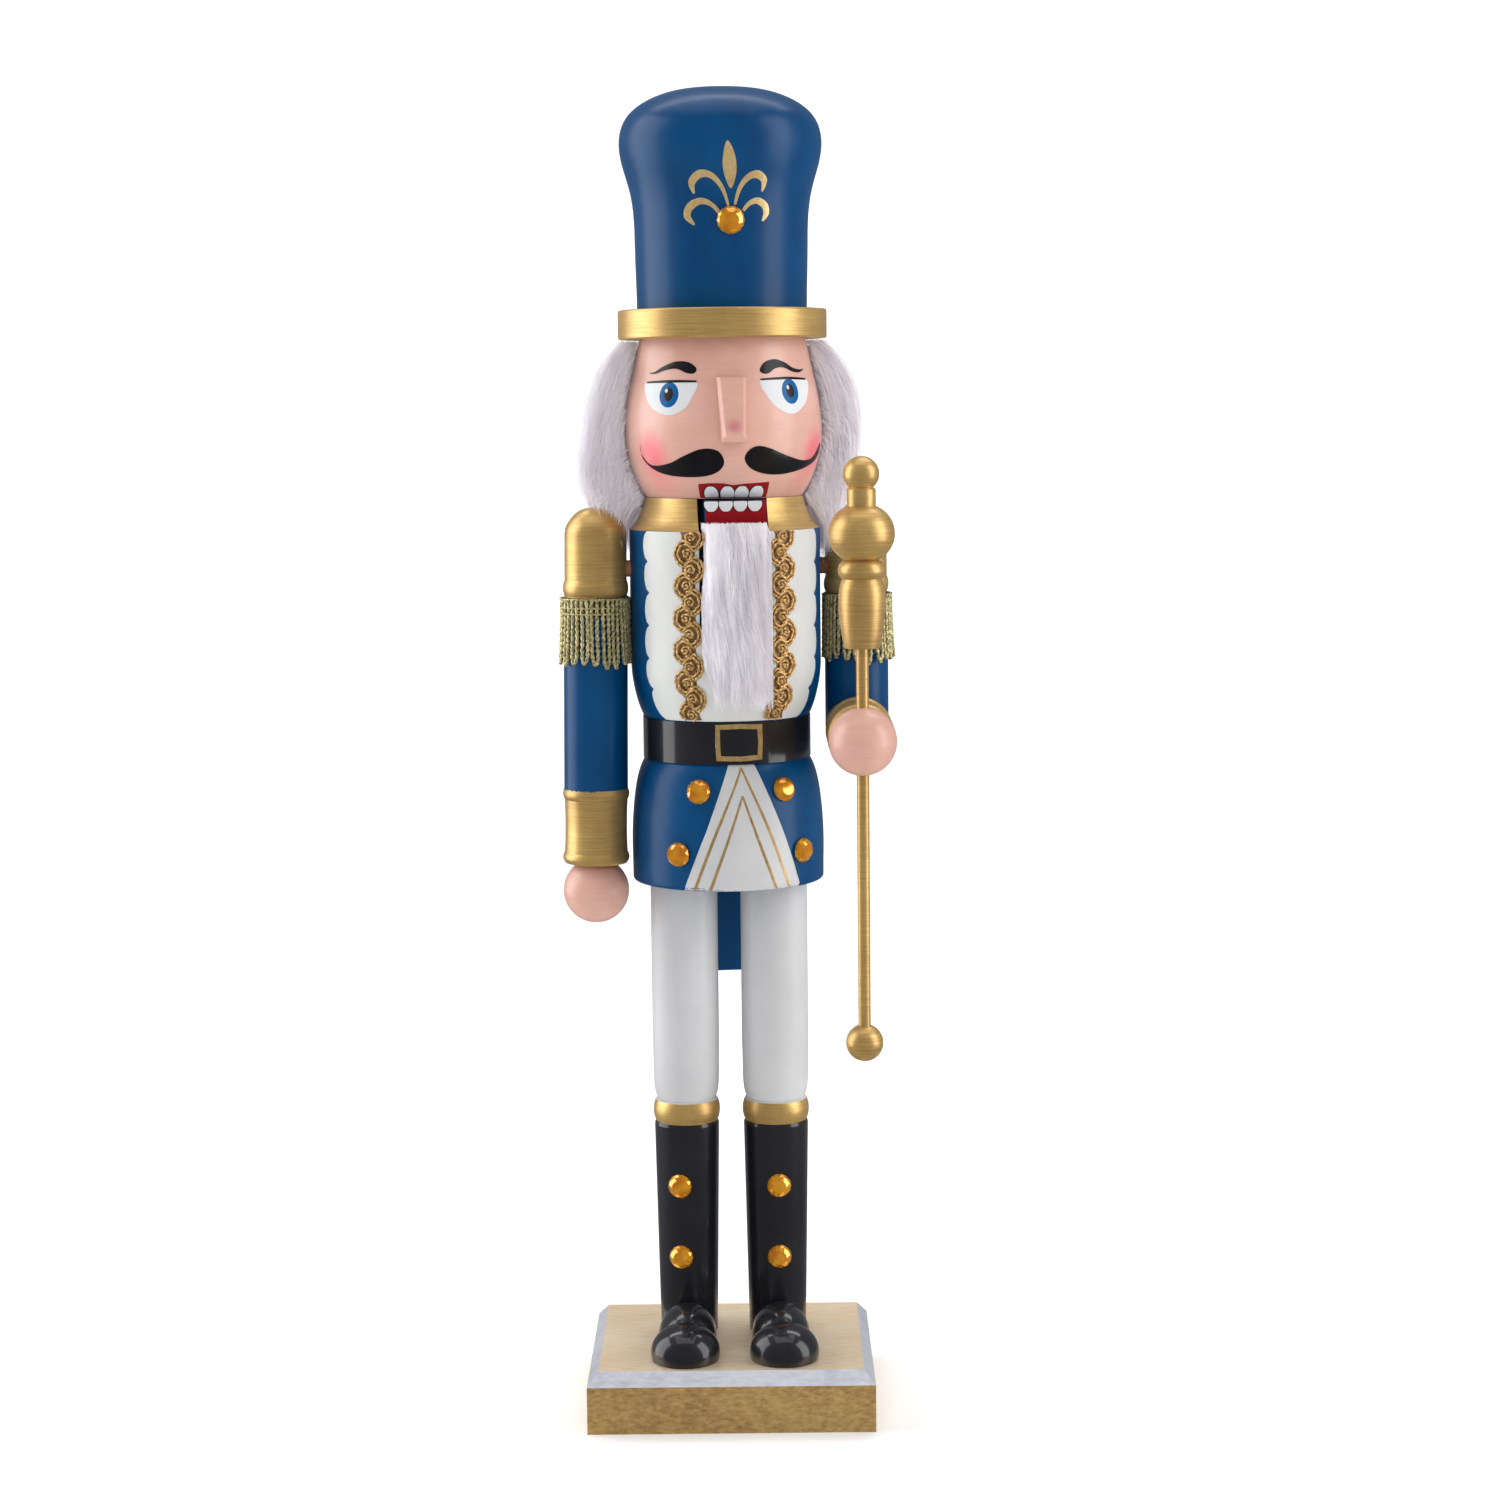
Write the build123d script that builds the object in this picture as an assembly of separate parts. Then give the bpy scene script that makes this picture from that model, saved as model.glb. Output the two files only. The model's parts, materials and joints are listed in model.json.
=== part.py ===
from build123d import *
import os
from math import atan2, degrees, radians, sin

# ---------------------------------------------------------------------------
# Nutcracker figure: a turned and painted wooden soldier on a square base.
# Millimetres. +Z is up, the figure faces -Y, and the figure's right is -X.
# The origin is the centre of the base's underside.
# ---------------------------------------------------------------------------

# Heights of the turned pieces, from the floor up
HEIGHT = 380.0
BASE_TOP = 17.4
GARTER_BOTTOM = 81.1
GARTER_TOP = 87.4
HEM = 153.3
BELT_BOTTOM = 189.3
BELT_TOP = 201.3
COLLAR_BOTTOM = 255.4
TORSO_TOP = 264.5
BRIM_BOTTOM = 309.4
BRIM_TOP = 317.7

# The base block
BASE_WIDTH = 82.2
BASE_DEPTH = 69.8
BASE_BEVEL_HEIGHT = 3.7
BASE_BEVEL_INSET = 3.2
FIGURE_X = 0.5
FIGURE_Y = 8.6  # the figure stands behind the base's centre, to leave room for the feet
UPPER_TURN = 6.5  # degrees; the torso is glued on facing a little to the figure's left

# Radii of the turned pieces
LEG_X = 13.15
LEG_RADIUS = 9.8
BOOT_SOLE_RADIUS = 8.4
BOOT_TOP_RADIUS = 9.5
GARTER_RADIUS = 9.8
GARTER_GROOVE = 9.15
HIP_RADIUS = 27.95
WAIST_RADIUS = 23.75
BELT_RADIUS = 24.35
CHEST_RADIUS = 27.55
CHEST_BOTTOM_RADIUS = 23.95
HEM_RADIUS = 27.85
HEM_ROUND = 1.0
NECK_RADIUS = 22.8
FACE_RADIUS = 28.45
HEAD_FOOT_RADIUS = 22.4
HEAD_TOP_RADIUS = 23.9
BRIM_RADIUS = 29.95
BRIM_ROUND = 0.6
BOOT_LIP = 1.0  # over this height the boot's top narrows to the garter's groove
TROUSER_STEP = 0.6  # the trouser leg starts this much inside the groove
TROUSER_STEP_HEIGHT = 0.4

# Outlines of the turned pieces, as points of radius and height
TROUSER_OUTLINE = (
    (GARTER_GROOVE - TROUSER_STEP, GARTER_TOP + TROUSER_STEP_HEIGHT), (LEG_RADIUS - 0.15, 96.0),
    (LEG_RADIUS, 109.0),
)
SKIRT_OUTLINE = ((HIP_RADIUS, 165.0), (27.2, 177.2), (WAIST_RADIUS, BELT_BOTTOM))
CHEST_OUTLINE = ((CHEST_BOTTOM_RADIUS, BELT_TOP), (26.25, 207.5), (CHEST_RADIUS, 217.5))
COLLAR_OUTLINE = ((CHEST_RADIUS, COLLAR_BOTTOM), (24.4, 259.8), (NECK_RADIUS, TORSO_TOP))
HEAD_OUTLINE = (
    (HEAD_FOOT_RADIUS, TORSO_TOP), (26.7, 272.9), (FACE_RADIUS, 283.5), (27.3, 294.3),
    (HEAD_TOP_RADIUS, BRIM_BOTTOM),
)
CROWN_OUTLINE = (
    (24.35, BRIM_TOP), (24.7, 333.8), (26.0, 351.2), (28.9, 364.7), (27.3, 370.9), (17.6, 377.9),
    (0.0, HEIGHT),
)

# Feet: a round toe cap and a smaller instep behind it, carved from one block
TOE_WIDTH = 20.0
TOE_HEIGHT = 10.2
TOE_FRONT = 39.2  # in front of the leg's axis
INSTEP_WIDTH = 17.0
INSTEP_HEIGHT = 11.4
INSTEP_BACK = 1.5  # in front of the leg's axis
INSTEP_OVERLAP = 6.0  # the instep runs this far into the toe cap
WELT_HEIGHT = 2.2  # the foot's widest level above the base
FOOT_SPLAY = {-1: 1.2, 1: 3.3}  # degrees outwards

# The slot through the torso, and the lever that moves in it
SLOT_WIDTH = 19.8
SLOT_FLOOR = 227.2
SLOT_BACK_WALL = 14.0  # behind the figure's axis, below the slot's floor
LEVER_WIDTH = 17.3
LEVER_SHIFT = 0.6  # the lever has slid along its pin, towards the figure's left
JAW_FRONT = 25.4  # in front of the figure's axis
JAW_HEIGHT = 24.0
JAW_GAP = 0.4  # under the head, with the mouth shut
NUT_HOLLOW_DEPTH = 3.0
NUT_HOLLOW_LENGTH = 17.0
NUT_HOLLOW_LIP = 7.0  # the teeth's thickness in front of the hollow
PIN_Y = 8.0  # behind the figure's axis
PIN_Z = 243.3
PIN_RADIUS = 1.5
PIN_LENGTH = 51.0
LEVER_HEEL_RADIUS = 19.2  # round the pin, so that the lever clears the head as it turns
LEVER_HEEL_RAMP = 2.0  # the step down from the jaw's top to the heel, in front of the pin
LEVER_ARM_UNDERSIDE = 236.6  # the height of the arm's underside just in front of the pin
LEVER_BEND = 227.4  # the height at which the tail's front face bends forward into the arm
TAIL_BOTTOM = 122.0
TAIL_THICKNESS = 8.6
TAIL_BACK = 26.6  # the tail's back face at its foot, behind the figure's axis

# Arms
ARM_X = {-1: 37.5, 1: 38.3}  # from the figure's axis; -1 is the figure's right
RIGHT_ARM_SPLAY = 0.8  # degrees outwards
SHOULDER_Z = 244.1
ARM_TOP = 261.8
EPAULETTE_RADIUS = 8.95
EPAULETTE_RING_RADIUS = 9.45
EPAULETTE_RING_TOP = 241.0
EPAULETTE_RING_BOTTOM = 236.4
EPAULETTE_OUTLINE = ((0, ARM_TOP), (5.2, 260.5), (8.3, 256.8), (EPAULETTE_RADIUS, 251.8))
SLEEVE_TOP = 236.1
SLEEVE_RADIUS = 9.25
CUFF_RING_RADIUS = 9.65
CUFF_WAIST_RADIUS = 8.95
CUFF_GROOVE_RADIUS = 9.15
CUFF_END_RADIUS = 8.95
CUFF_LENGTH = 21.8
CUFF_RING_WIDTH = 3.2
WRIST_Z = 158.8
HAND_RADIUS = 9.55
HAND_STANDOFF = 8.2  # from the cuff's end to the hand's centre
ELBOW_Z = 197.6
FOREARM_LENGTH = 38.0
FOREARM_TOE_IN = 6.5  # degrees, towards the figure's middle
FRINGE_TOP = 236.0
FRINGE_BOTTOM = 216.6
FRINGE_THICKNESS = 1.15
FRINGE_CLEARANCE = 0.4  # from the chest

# Staff
STAFF_RADIUS = 1.75
STAFF_BALL_RADIUS = 5.25
STAFF_BALL_Z = 112.6
MACE_BOTTOM = 223.6
MACE_TOP = 276.4
MACE_SMALL_BALL = ((0, MACE_TOP), (5.0, 271.7), (3.4, 267.9))
MACE_NECK = ((3.4, 267.9), (4.0, 267.3), (4.0, 262.7))
MACE_LARGE_BALL = ((4.0, 262.7), (9.2, 255.1), (4.6, 247.9))
MACE_RING = ((5.6, 247.4), (6.6, 245.1), (5.4, 242.7))
MACE_BARREL = ((5.4, 242.7), (6.4, 234.0), (4.9, MACE_BOTTOM))
MACE_SOCKET = 9.0
BALL_SOCKET = 5.0

# Glued dowels, and the clearances of what is glued and what turns
DOWEL_RADIUS = 2.4
LEG_DOWEL_RADIUS = 3.0
HAT_DOWEL_RADIUS = 4.0
DOWEL_REACH = 8.0
GLUE_GAP = 0.03
RUNNING_GAP = 0.05
NECK_DOWEL_X = 16.5
SHOULDER_DOWEL_INNER = 14.5
SHOULDER_DOWEL_OUTER = 45.0
DOWEL_HOLE_SPARE = 0.5  # a blind hole is this much deeper than its dowel
CUT_SPARE = 5.0  # cutting solids run this far past what they cut

# Trim: rhinestones, braid, beard and hair
GEM_RADIUS = 3.5
GEM_HEIGHT = 2.2
GEM_TABLE_RADIUS = 2.0
GEM_GIRDLE = 0.5
GLUE_FILM = 0.1  # behind a stone on a surface that is nearly flat
HAT_GEM_RADIUS = 3.85
HAT_GEM_Z = 341.6
HAT_GEM_ANGLE = 0.0  # from the hat's own front
HAT_GEM_LEAN = 3.0
JACKET_CENTRE_ANGLE = 3.3  # the jacket's front is painted a little to the figure's left
# Height, angle each side of the centre, radius of the stone's back, and lean
JACKET_GEMS = ((181.8, 27.2, 26.75, -14.0), (163.8, 39.4, 28.3, 0.0))
BOOT_GEM_HEIGHTS = (63.0, 41.5)
BOOT_GEM_ANGLES = {-1: -13.0, 1: 4.0}
BRAID_THICKNESS = 1.0
BRAID_WIDTH = 7.4
BRAID_ANGLE = 28.9  # each side of the slot's middle
BEARD_WIDTH = 17.0
BEARD_TOP = 257.8
BEARD_BOTTOM = 206.0
BEARD_STANDOFF = 0.7  # from the chest
BEARD_OUTLINE = ((3.2, 252.5), (4.5, 234.0), (0.6, BEARD_BOTTOM))  # thickness and height
BEARD_ROOT_BOTTOM = 245.0  # the lowest level that is glued to the jaw
BEARD_BACK_TOP = 240.0  # below this the back hangs straight
NOSE_ANGLE = -0.9  # the face is painted a little to the figure's right of the hat's front
NOSE_TOP = 298.3
NOSE_TIP_Z = 282.2
NOSE_BOTTOM = 280.4
NOSE_UNDERCUT = 1.2
NOSE_DEPTH = 7.0  # the tip stands this far in front of the face
NOSE_BROW_DEPTH = -0.2
NOSE_ROOT = 6.0  # the blank reaches this far into the head before it is cut to fit
NOSE_BROW_WIDTH = 8.3
NOSE_TIP_WIDTH = 6.4
NOSE_PLANING = 0.9
HAIR_INNER_GAP = 1.6  # behind the neck, where the lever passes
HAIR_TOP = 305.5
HAIR_SIDE_BOTTOM = 265.8
HAIR_BACK_BOTTOM = 244.3
HAIR_RADIUS = 39.5
HAIR_TOP_RADIUS = 34.5
HAIR_BOTTOM_RADIUS = 36.5
HAIR_SIDE_ANGLE = 98.0  # each way from the middle of the back
HAIR_BACK_ANGLE = 46.0


# ---------------------------------------------------------------------------
# Helpers
# ---------------------------------------------------------------------------

def outline_face(*curves):
    """The flat face inside a closed outline of lines, polylines, arcs and splines."""
    return make_face(Wire([edge for curve in curves for edge in curve.edges()]))


def turned(*curves):
    """A lathe-turned solid: an outline of radius and height, spun about Z."""
    return revolve(Plane.XZ * outline_face(*curves), Axis.Z)


def on_figure(shape):
    """Move a shape made about the Z axis to the figure's own axis, turned with its upper half."""
    return Pos(FIGURE_X, FIGURE_Y, 0) * Rot(0, 0, UPPER_TURN) * shape


def peg(radius, length):
    """A dowel along Z, centred on its middle."""
    return Cylinder(radius, length)


def hole(radius, length):
    """The hole for a glued peg."""
    return Cylinder(radius + GLUE_GAP, length + 2 * DOWEL_HOLE_SPARE)


# ---------------------------------------------------------------------------
# Base, feet and legs
# ---------------------------------------------------------------------------

def leg_places():
    """Side (-1 is the figure's right) and the place of each leg's axis."""
    return {side: Pos(FIGURE_X + side * LEG_X, FIGURE_Y, 0) for side in (-1, 1)}


def base_block():
    wall = BASE_TOP - BASE_BEVEL_HEIGHT
    bevel_angle = degrees(atan2(BASE_BEVEL_INSET, BASE_BEVEL_HEIGHT))
    block = extrude(Rectangle(BASE_WIDTH, BASE_DEPTH), wall)
    bevel = extrude(Rectangle(BASE_WIDTH, BASE_DEPTH), BASE_BEVEL_HEIGHT, taper=bevel_angle)
    block += Pos(0, 0, wall) * bevel
    for place in leg_places().values():
        block -= place * Pos(0, 0, BASE_TOP) * hole(LEG_DOWEL_RADIUS, 2 * DOWEL_REACH)
    return block


def leg_turning():
    """Boot, garter and trouser leg in one turning."""
    garter_middle = (GARTER_BOTTOM + GARTER_TOP) / 2
    return turned(
        Line((0, BASE_TOP), (BOOT_SOLE_RADIUS, BASE_TOP)),
        Polyline(
            (BOOT_SOLE_RADIUS, BASE_TOP), (BOOT_TOP_RADIUS, GARTER_BOTTOM - BOOT_LIP),
            (GARTER_GROOVE, GARTER_BOTTOM),
        ),
        ThreePointArc(
            (GARTER_GROOVE, GARTER_BOTTOM), (GARTER_RADIUS, garter_middle), (GARTER_GROOVE, GARTER_TOP)
        ),
        Line((GARTER_GROOVE, GARTER_TOP), TROUSER_OUTLINE[0]),
        Spline(*TROUSER_OUTLINE, tangents=((0.5, 1), (0, 1))),
        Line(TROUSER_OUTLINE[-1], (LEG_RADIUS, HEM)),
        Line((LEG_RADIUS, HEM), (0, HEM)),
        Line((0, HEM), (0, BASE_TOP)),
    )


def leg():
    """The leg turning, drilled at both ends."""
    solid = leg_turning()
    for end in (BASE_TOP, HEM):
        solid -= Pos(0, 0, end) * hole(LEG_DOWEL_RADIUS, 2 * DOWEL_REACH)
    return solid


def rounded_cap(width, length, height):
    """An egg-shaped cap, widest a little above the base and cut off flat under its foot."""
    dome = scale(Sphere(1.0), by=(width / 2, length / 2, height - WELT_HEIGHT))
    floor = Pos(0, 0, -height - WELT_HEIGHT) * Box(2 * width, 2 * length, 2 * height)
    return Pos(0, 0, WELT_HEIGHT) * (dome - floor)


def foot():
    """Toe cap and instep, with the boot's round scooped out of the back."""
    toe_length = TOE_WIDTH
    toe = Pos(0, -TOE_FRONT + toe_length / 2, 0) * rounded_cap(TOE_WIDTH, toe_length, TOE_HEIGHT)
    instep_length = TOE_FRONT - toe_length + INSTEP_OVERLAP
    instep = rounded_cap(INSTEP_WIDTH, instep_length, INSTEP_HEIGHT)
    instep = Pos(0, -instep_length / 2 - INSTEP_BACK, 0) * instep
    return Pos(0, 0, BASE_TOP) * (toe + instep) - leg_turning()


# ---------------------------------------------------------------------------
# Torso and lever
# ---------------------------------------------------------------------------

def chest_curves(offset=0.0):
    """The chest's outline from the belt up to the collar, pushed out by an offset."""
    swell = [(radius + offset, height) for radius, height in CHEST_OUTLINE]
    return (
        Spline(*swell, tangents=((0.6, 1), (0, 1))),
        Line(swell[-1], (CHEST_RADIUS + offset, COLLAR_BOTTOM)),
    )


def torso_turning():
    """Skirt, belt, chest and collar in one turning."""
    return turned(
        Line((0, HEM), (HEM_RADIUS - HEM_ROUND, HEM)),
        RadiusArc((HEM_RADIUS - HEM_ROUND, HEM), (HEM_RADIUS, HEM + HEM_ROUND), -HEM_ROUND),
        Spline((HEM_RADIUS, HEM + HEM_ROUND), *SKIRT_OUTLINE, tangents=((0, 1), (-0.75, 1))),
        Polyline(
            (WAIST_RADIUS, BELT_BOTTOM), (BELT_RADIUS, BELT_BOTTOM),
            (BELT_RADIUS, BELT_TOP), (CHEST_BOTTOM_RADIUS, BELT_TOP),
        ),
        *chest_curves(),
        Spline(*COLLAR_OUTLINE, tangents=((-1, 0.75), (-0.15, 1))),
        Polyline((NECK_RADIUS, TORSO_TOP), (0, TORSO_TOP), (0, HEM)),
    )


def side_extrusion(outline, width):
    """Extrude an outline of depth (Y) and height (Z) along X, centred on the figure's middle."""
    return extrude(Plane.YZ * outline, width / 2, both=True)


def torso():
    reach = HIP_RADIUS + CUT_SPARE
    under = HEM - CUT_SPARE
    over = TORSO_TOP + CUT_SPARE
    slot = outline_face(Polyline(
        (-reach, SLOT_FLOOR), (SLOT_BACK_WALL, SLOT_FLOOR), (SLOT_BACK_WALL, under),
        (reach, under), (reach, over), (-reach, over), (-reach, SLOT_FLOOR),
    ))
    body = torso_turning() - side_extrusion(slot, SLOT_WIDTH)
    body -= Pos(0, PIN_Y, PIN_Z) * Rot(0, 90, 0) * Cylinder(PIN_RADIUS + GLUE_GAP, 2 * reach)
    for side in (-1, 1):
        hip = Rot(0, 0, -UPPER_TURN) * Pos(side * LEG_X, 0, HEM)
        body -= hip * hole(LEG_DOWEL_RADIUS, 2 * DOWEL_REACH)
        body -= Pos(side * NECK_DOWEL_X, 0, TORSO_TOP) * hole(DOWEL_RADIUS, 2 * DOWEL_REACH)
        depth = reach - SHOULDER_DOWEL_INNER + DOWEL_HOLE_SPARE
        middle = reach - depth / 2
        shoulder_hole = Cylinder(DOWEL_RADIUS + RUNNING_GAP, depth)
        body -= Pos(side * middle, 0, SHOULDER_Z) * Rot(0, 90, 0) * shoulder_hole
    return body


def jaw_lever():
    """Jaw, arm and tail sawn from one board, with a bore for the pin."""
    jaw_top = TORSO_TOP - JAW_GAP
    jaw_bottom = jaw_top - JAW_HEIGHT
    hollow_front = -JAW_FRONT + NUT_HOLLOW_LIP
    hollow_back = hollow_front + NUT_HOLLOW_LENGTH
    heel_top = PIN_Z + LEVER_HEEL_RADIUS
    heel_back = PIN_Y + LEVER_HEEL_RADIUS
    heel_mid = LEVER_HEEL_RADIUS * sin(radians(45))
    heel_front = heel_back - TAIL_THICKNESS - 1.0
    tail_front = TAIL_BACK - TAIL_THICKNESS
    outline = outline_face(
        Line((-JAW_FRONT, jaw_bottom), (-JAW_FRONT, jaw_top)),
        Line((-JAW_FRONT, jaw_top), (hollow_front, jaw_top)),
        ThreePointArc(
            (hollow_front, jaw_top),
            ((hollow_front + hollow_back) / 2, jaw_top - NUT_HOLLOW_DEPTH),
            (hollow_back, jaw_top),
        ),
        Polyline((hollow_back, jaw_top), (PIN_Y - LEVER_HEEL_RAMP, jaw_top), (PIN_Y, heel_top)),
        ThreePointArc((PIN_Y, heel_top), (PIN_Y + heel_mid, PIN_Z + heel_mid), (heel_back, PIN_Z)),
        Polyline(
            (heel_back, PIN_Z), (TAIL_BACK, TAIL_BOTTOM), (tail_front, TAIL_BOTTOM), (heel_front, LEVER_BEND)
        ),
        Spline(
            (heel_front, LEVER_BEND), (PIN_Y - 1.0, LEVER_ARM_UNDERSIDE), (-JAW_FRONT, jaw_bottom),
            tangents=((0, 1), (-1, 0.1)),
        ),
    )
    board = Pos(LEVER_SHIFT, 0, 0) * side_extrusion(outline, LEVER_WIDTH)
    board -= Pos(0, PIN_Y, PIN_Z) * Rot(0, 90, 0) * Cylinder(PIN_RADIUS + RUNNING_GAP, 2 * LEVER_WIDTH)
    return board


def jaw_pin():
    return Pos(0, PIN_Y, PIN_Z) * Rot(0, 90, 0) * Cylinder(PIN_RADIUS, PIN_LENGTH)


def beard():
    """The fur strip glued to the jaw, as a plain soft solid that hangs in front of the chest."""
    back = -CHEST_RADIUS - BEARD_STANDOFF
    front = [(back - thickness, height) for thickness, height in BEARD_OUTLINE]
    outline = outline_face(
        Line((-JAW_FRONT, BEARD_ROOT_BOTTOM), (-JAW_FRONT, BEARD_TOP)),
        Spline((-JAW_FRONT, BEARD_TOP), *front, tangents=((-1, 0.4), (0.3, -1))),
        Polyline(
            front[-1], (back, BEARD_BOTTOM), (back, BEARD_BACK_TOP), (-JAW_FRONT, BEARD_ROOT_BOTTOM)
        ),
    )
    return Pos(LEVER_SHIFT, 0, 0) * side_extrusion(outline, BEARD_WIDTH)


def braid(angle):
    """A strip of gimp braid down the chest, from the collar to the belt."""
    band = outline_face(
        *chest_curves(),
        Line((CHEST_RADIUS, COLLAR_BOTTOM), (CHEST_RADIUS + BRAID_THICKNESS, COLLAR_BOTTOM)),
        *chest_curves(BRAID_THICKNESS),
        Line((CHEST_BOTTOM_RADIUS + BRAID_THICKNESS, BELT_TOP), (CHEST_BOTTOM_RADIUS, BELT_TOP)),
    )
    spread = degrees(BRAID_WIDTH / CHEST_RADIUS)
    strip = revolve(Plane.XZ * band, Axis.Z, spread)
    front = -90.0
    return Rot(0, 0, front + angle - spread / 2) * strip


# ---------------------------------------------------------------------------
# Head, hair and hat
# ---------------------------------------------------------------------------

def head_turning():
    return turned(
        Line((0, TORSO_TOP), (HEAD_FOOT_RADIUS, TORSO_TOP)),
        Spline(*HEAD_OUTLINE, tangents=((0.8, 1), (-0.2, 1))),
        Polyline((HEAD_TOP_RADIUS, BRIM_BOTTOM), (0, BRIM_BOTTOM), (0, TORSO_TOP)),
    )


def head():
    solid = head_turning()
    for side in (-1, 1):
        solid -= Pos(side * NECK_DOWEL_X, 0, TORSO_TOP) * hole(DOWEL_RADIUS, 2 * DOWEL_REACH)
    return solid - Pos(0, 0, BRIM_BOTTOM) * hole(HAT_DOWEL_RADIUS, 2 * DOWEL_REACH)


def nose():
    """A wedge, shallow at the brow, deep and narrow at the tip, with the edges of its bridge planed off."""
    brow_depth = FACE_RADIUS + NOSE_BROW_DEPTH
    tip_depth = FACE_RADIUS + NOSE_DEPTH
    back = FACE_RADIUS - NOSE_ROOT
    side = outline_face(Polyline(
        (-back, NOSE_TOP), (-brow_depth, NOSE_TOP), (-tip_depth, NOSE_TIP_Z),
        (-tip_depth + NOSE_UNDERCUT, NOSE_BOTTOM), (-back, NOSE_BOTTOM), (-back, NOSE_TOP),
    ))
    front = outline_face(Polyline(
        (-NOSE_BROW_WIDTH / 2, NOSE_TOP), (NOSE_BROW_WIDTH / 2, NOSE_TOP),
        (NOSE_TIP_WIDTH / 2, NOSE_BOTTOM), (-NOSE_TIP_WIDTH / 2, NOSE_BOTTOM),
        (-NOSE_BROW_WIDTH / 2, NOSE_TOP),
    ))
    wedge = side_extrusion(side, NOSE_BROW_WIDTH) & extrude(Plane.XZ * front, tip_depth + CUT_SPARE)
    bridge = wedge.faces().sort_by(Axis.Y)[:2].sort_by(SortBy.AREA)[-1]
    left_to_right = bridge.edges().sort_by(Axis.X)
    wedge = chamfer([left_to_right[0], left_to_right[-1]], NOSE_PLANING)
    return Rot(0, 0, NOSE_ANGLE) * (wedge - head_turning())


def hair_sector(inner, bottom, top, spread):
    """A band of hair round the back of the head, spread each way from the middle of the back."""
    outer_mid = (bottom + top) / 2
    band = outline_face(
        Polyline((HAIR_TOP_RADIUS, top), (inner, top), (inner, bottom), (HAIR_BOTTOM_RADIUS, bottom)),
        ThreePointArc((HAIR_BOTTOM_RADIUS, bottom), (HAIR_RADIUS, outer_mid), (HAIR_TOP_RADIUS, top)),
    )
    start = 90.0 - spread
    return Rot(0, 0, start) * revolve(Plane.XZ * band, Axis.Z, 2 * spread)


def hair():
    """The fur glued round the head from ear to ear, as a plain soft solid."""
    clear = FACE_RADIUS + HAIR_INNER_GAP
    sides = hair_sector(NECK_RADIUS, HAIR_SIDE_BOTTOM, HAIR_TOP, HAIR_SIDE_ANGLE) - head_turning()
    back = hair_sector(clear, HAIR_BACK_BOTTOM, HAIR_SIDE_BOTTOM + 1.0, HAIR_BACK_ANGLE)
    return sides + back


def hat_brim():
    disc = Pos(0, 0, (BRIM_BOTTOM + BRIM_TOP) / 2) * Cylinder(BRIM_RADIUS, BRIM_TOP - BRIM_BOTTOM)
    disc = fillet(disc.edges().filter_by(GeomType.CIRCLE), BRIM_ROUND)
    return disc - Pos(0, 0, BRIM_BOTTOM) * Cylinder(HAT_DOWEL_RADIUS + GLUE_GAP, 4 * DOWEL_REACH)


def hat_crown():
    """A tall shako that flares to a rounded shoulder and a shallow dome."""
    solid = turned(
        Line((0, BRIM_TOP), CROWN_OUTLINE[0]),
        Spline(*CROWN_OUTLINE, tangents=((0, 1), (-1, 0))),
        Line((0, HEIGHT), (0, BRIM_TOP)),
    )
    return solid - Pos(0, 0, BRIM_TOP) * hole(HAT_DOWEL_RADIUS, 2 * DOWEL_REACH)


def hat_dowel():
    bottom = BRIM_BOTTOM - DOWEL_REACH
    top = BRIM_TOP + DOWEL_REACH
    return Pos(0, 0, (bottom + top) / 2) * peg(HAT_DOWEL_RADIUS, top - bottom)


# ---------------------------------------------------------------------------
# Arms and staff
# ---------------------------------------------------------------------------

def epaulette_curves():
    """The top of an arm's outline: a domed cap and a ring, down to the sleeve."""
    ring_middle = (EPAULETTE_RING_TOP + EPAULETTE_RING_BOTTOM) / 2
    return (
        Spline(*EPAULETTE_OUTLINE, tangents=((1, 0), (0, -1))),
        Line(EPAULETTE_OUTLINE[-1], (EPAULETTE_RADIUS, EPAULETTE_RING_TOP)),
        ThreePointArc(
            (EPAULETTE_RADIUS, EPAULETTE_RING_TOP), (EPAULETTE_RING_RADIUS, ring_middle),
            (EPAULETTE_RADIUS, EPAULETTE_RING_BOTTOM),
        ),
        Line((EPAULETTE_RADIUS, EPAULETTE_RING_BOTTOM), (SLEEVE_RADIUS, SLEEVE_TOP)),
    )


def cuff_curves(end):
    """The cuff's outline, a waisted band between two rings, ending at a given height."""
    start = end + CUFF_LENGTH
    ring = CUFF_RING_WIDTH
    return (
        ThreePointArc(
            (SLEEVE_RADIUS, start), (CUFF_RING_RADIUS, start - ring / 2), (CUFF_GROOVE_RADIUS, start - ring)
        ),
        ThreePointArc(
            (CUFF_GROOVE_RADIUS, start - ring), (CUFF_WAIST_RADIUS, (start + end) / 2),
            (CUFF_GROOVE_RADIUS, end + ring),
        ),
        ThreePointArc(
            (CUFF_GROOVE_RADIUS, end + ring), (CUFF_RING_RADIUS, end + ring / 2), (CUFF_END_RADIUS, end)
        ),
        Polyline((CUFF_END_RADIUS, end), (0, end)),
    )


def straight_arm():
    """The right arm: epaulette, sleeve and cuff in one turning."""
    sleeve_end = WRIST_Z + CUFF_LENGTH
    solid = turned(
        *epaulette_curves(),
        Line((SLEEVE_RADIUS, SLEEVE_TOP), (SLEEVE_RADIUS, sleeve_end)),
        *cuff_curves(WRIST_Z),
        Line((0, WRIST_Z), (0, ARM_TOP)),
    )
    return solid - Pos(0, 0, WRIST_Z) * hole(DOWEL_RADIUS, 2 * DOWEL_REACH)


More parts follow.
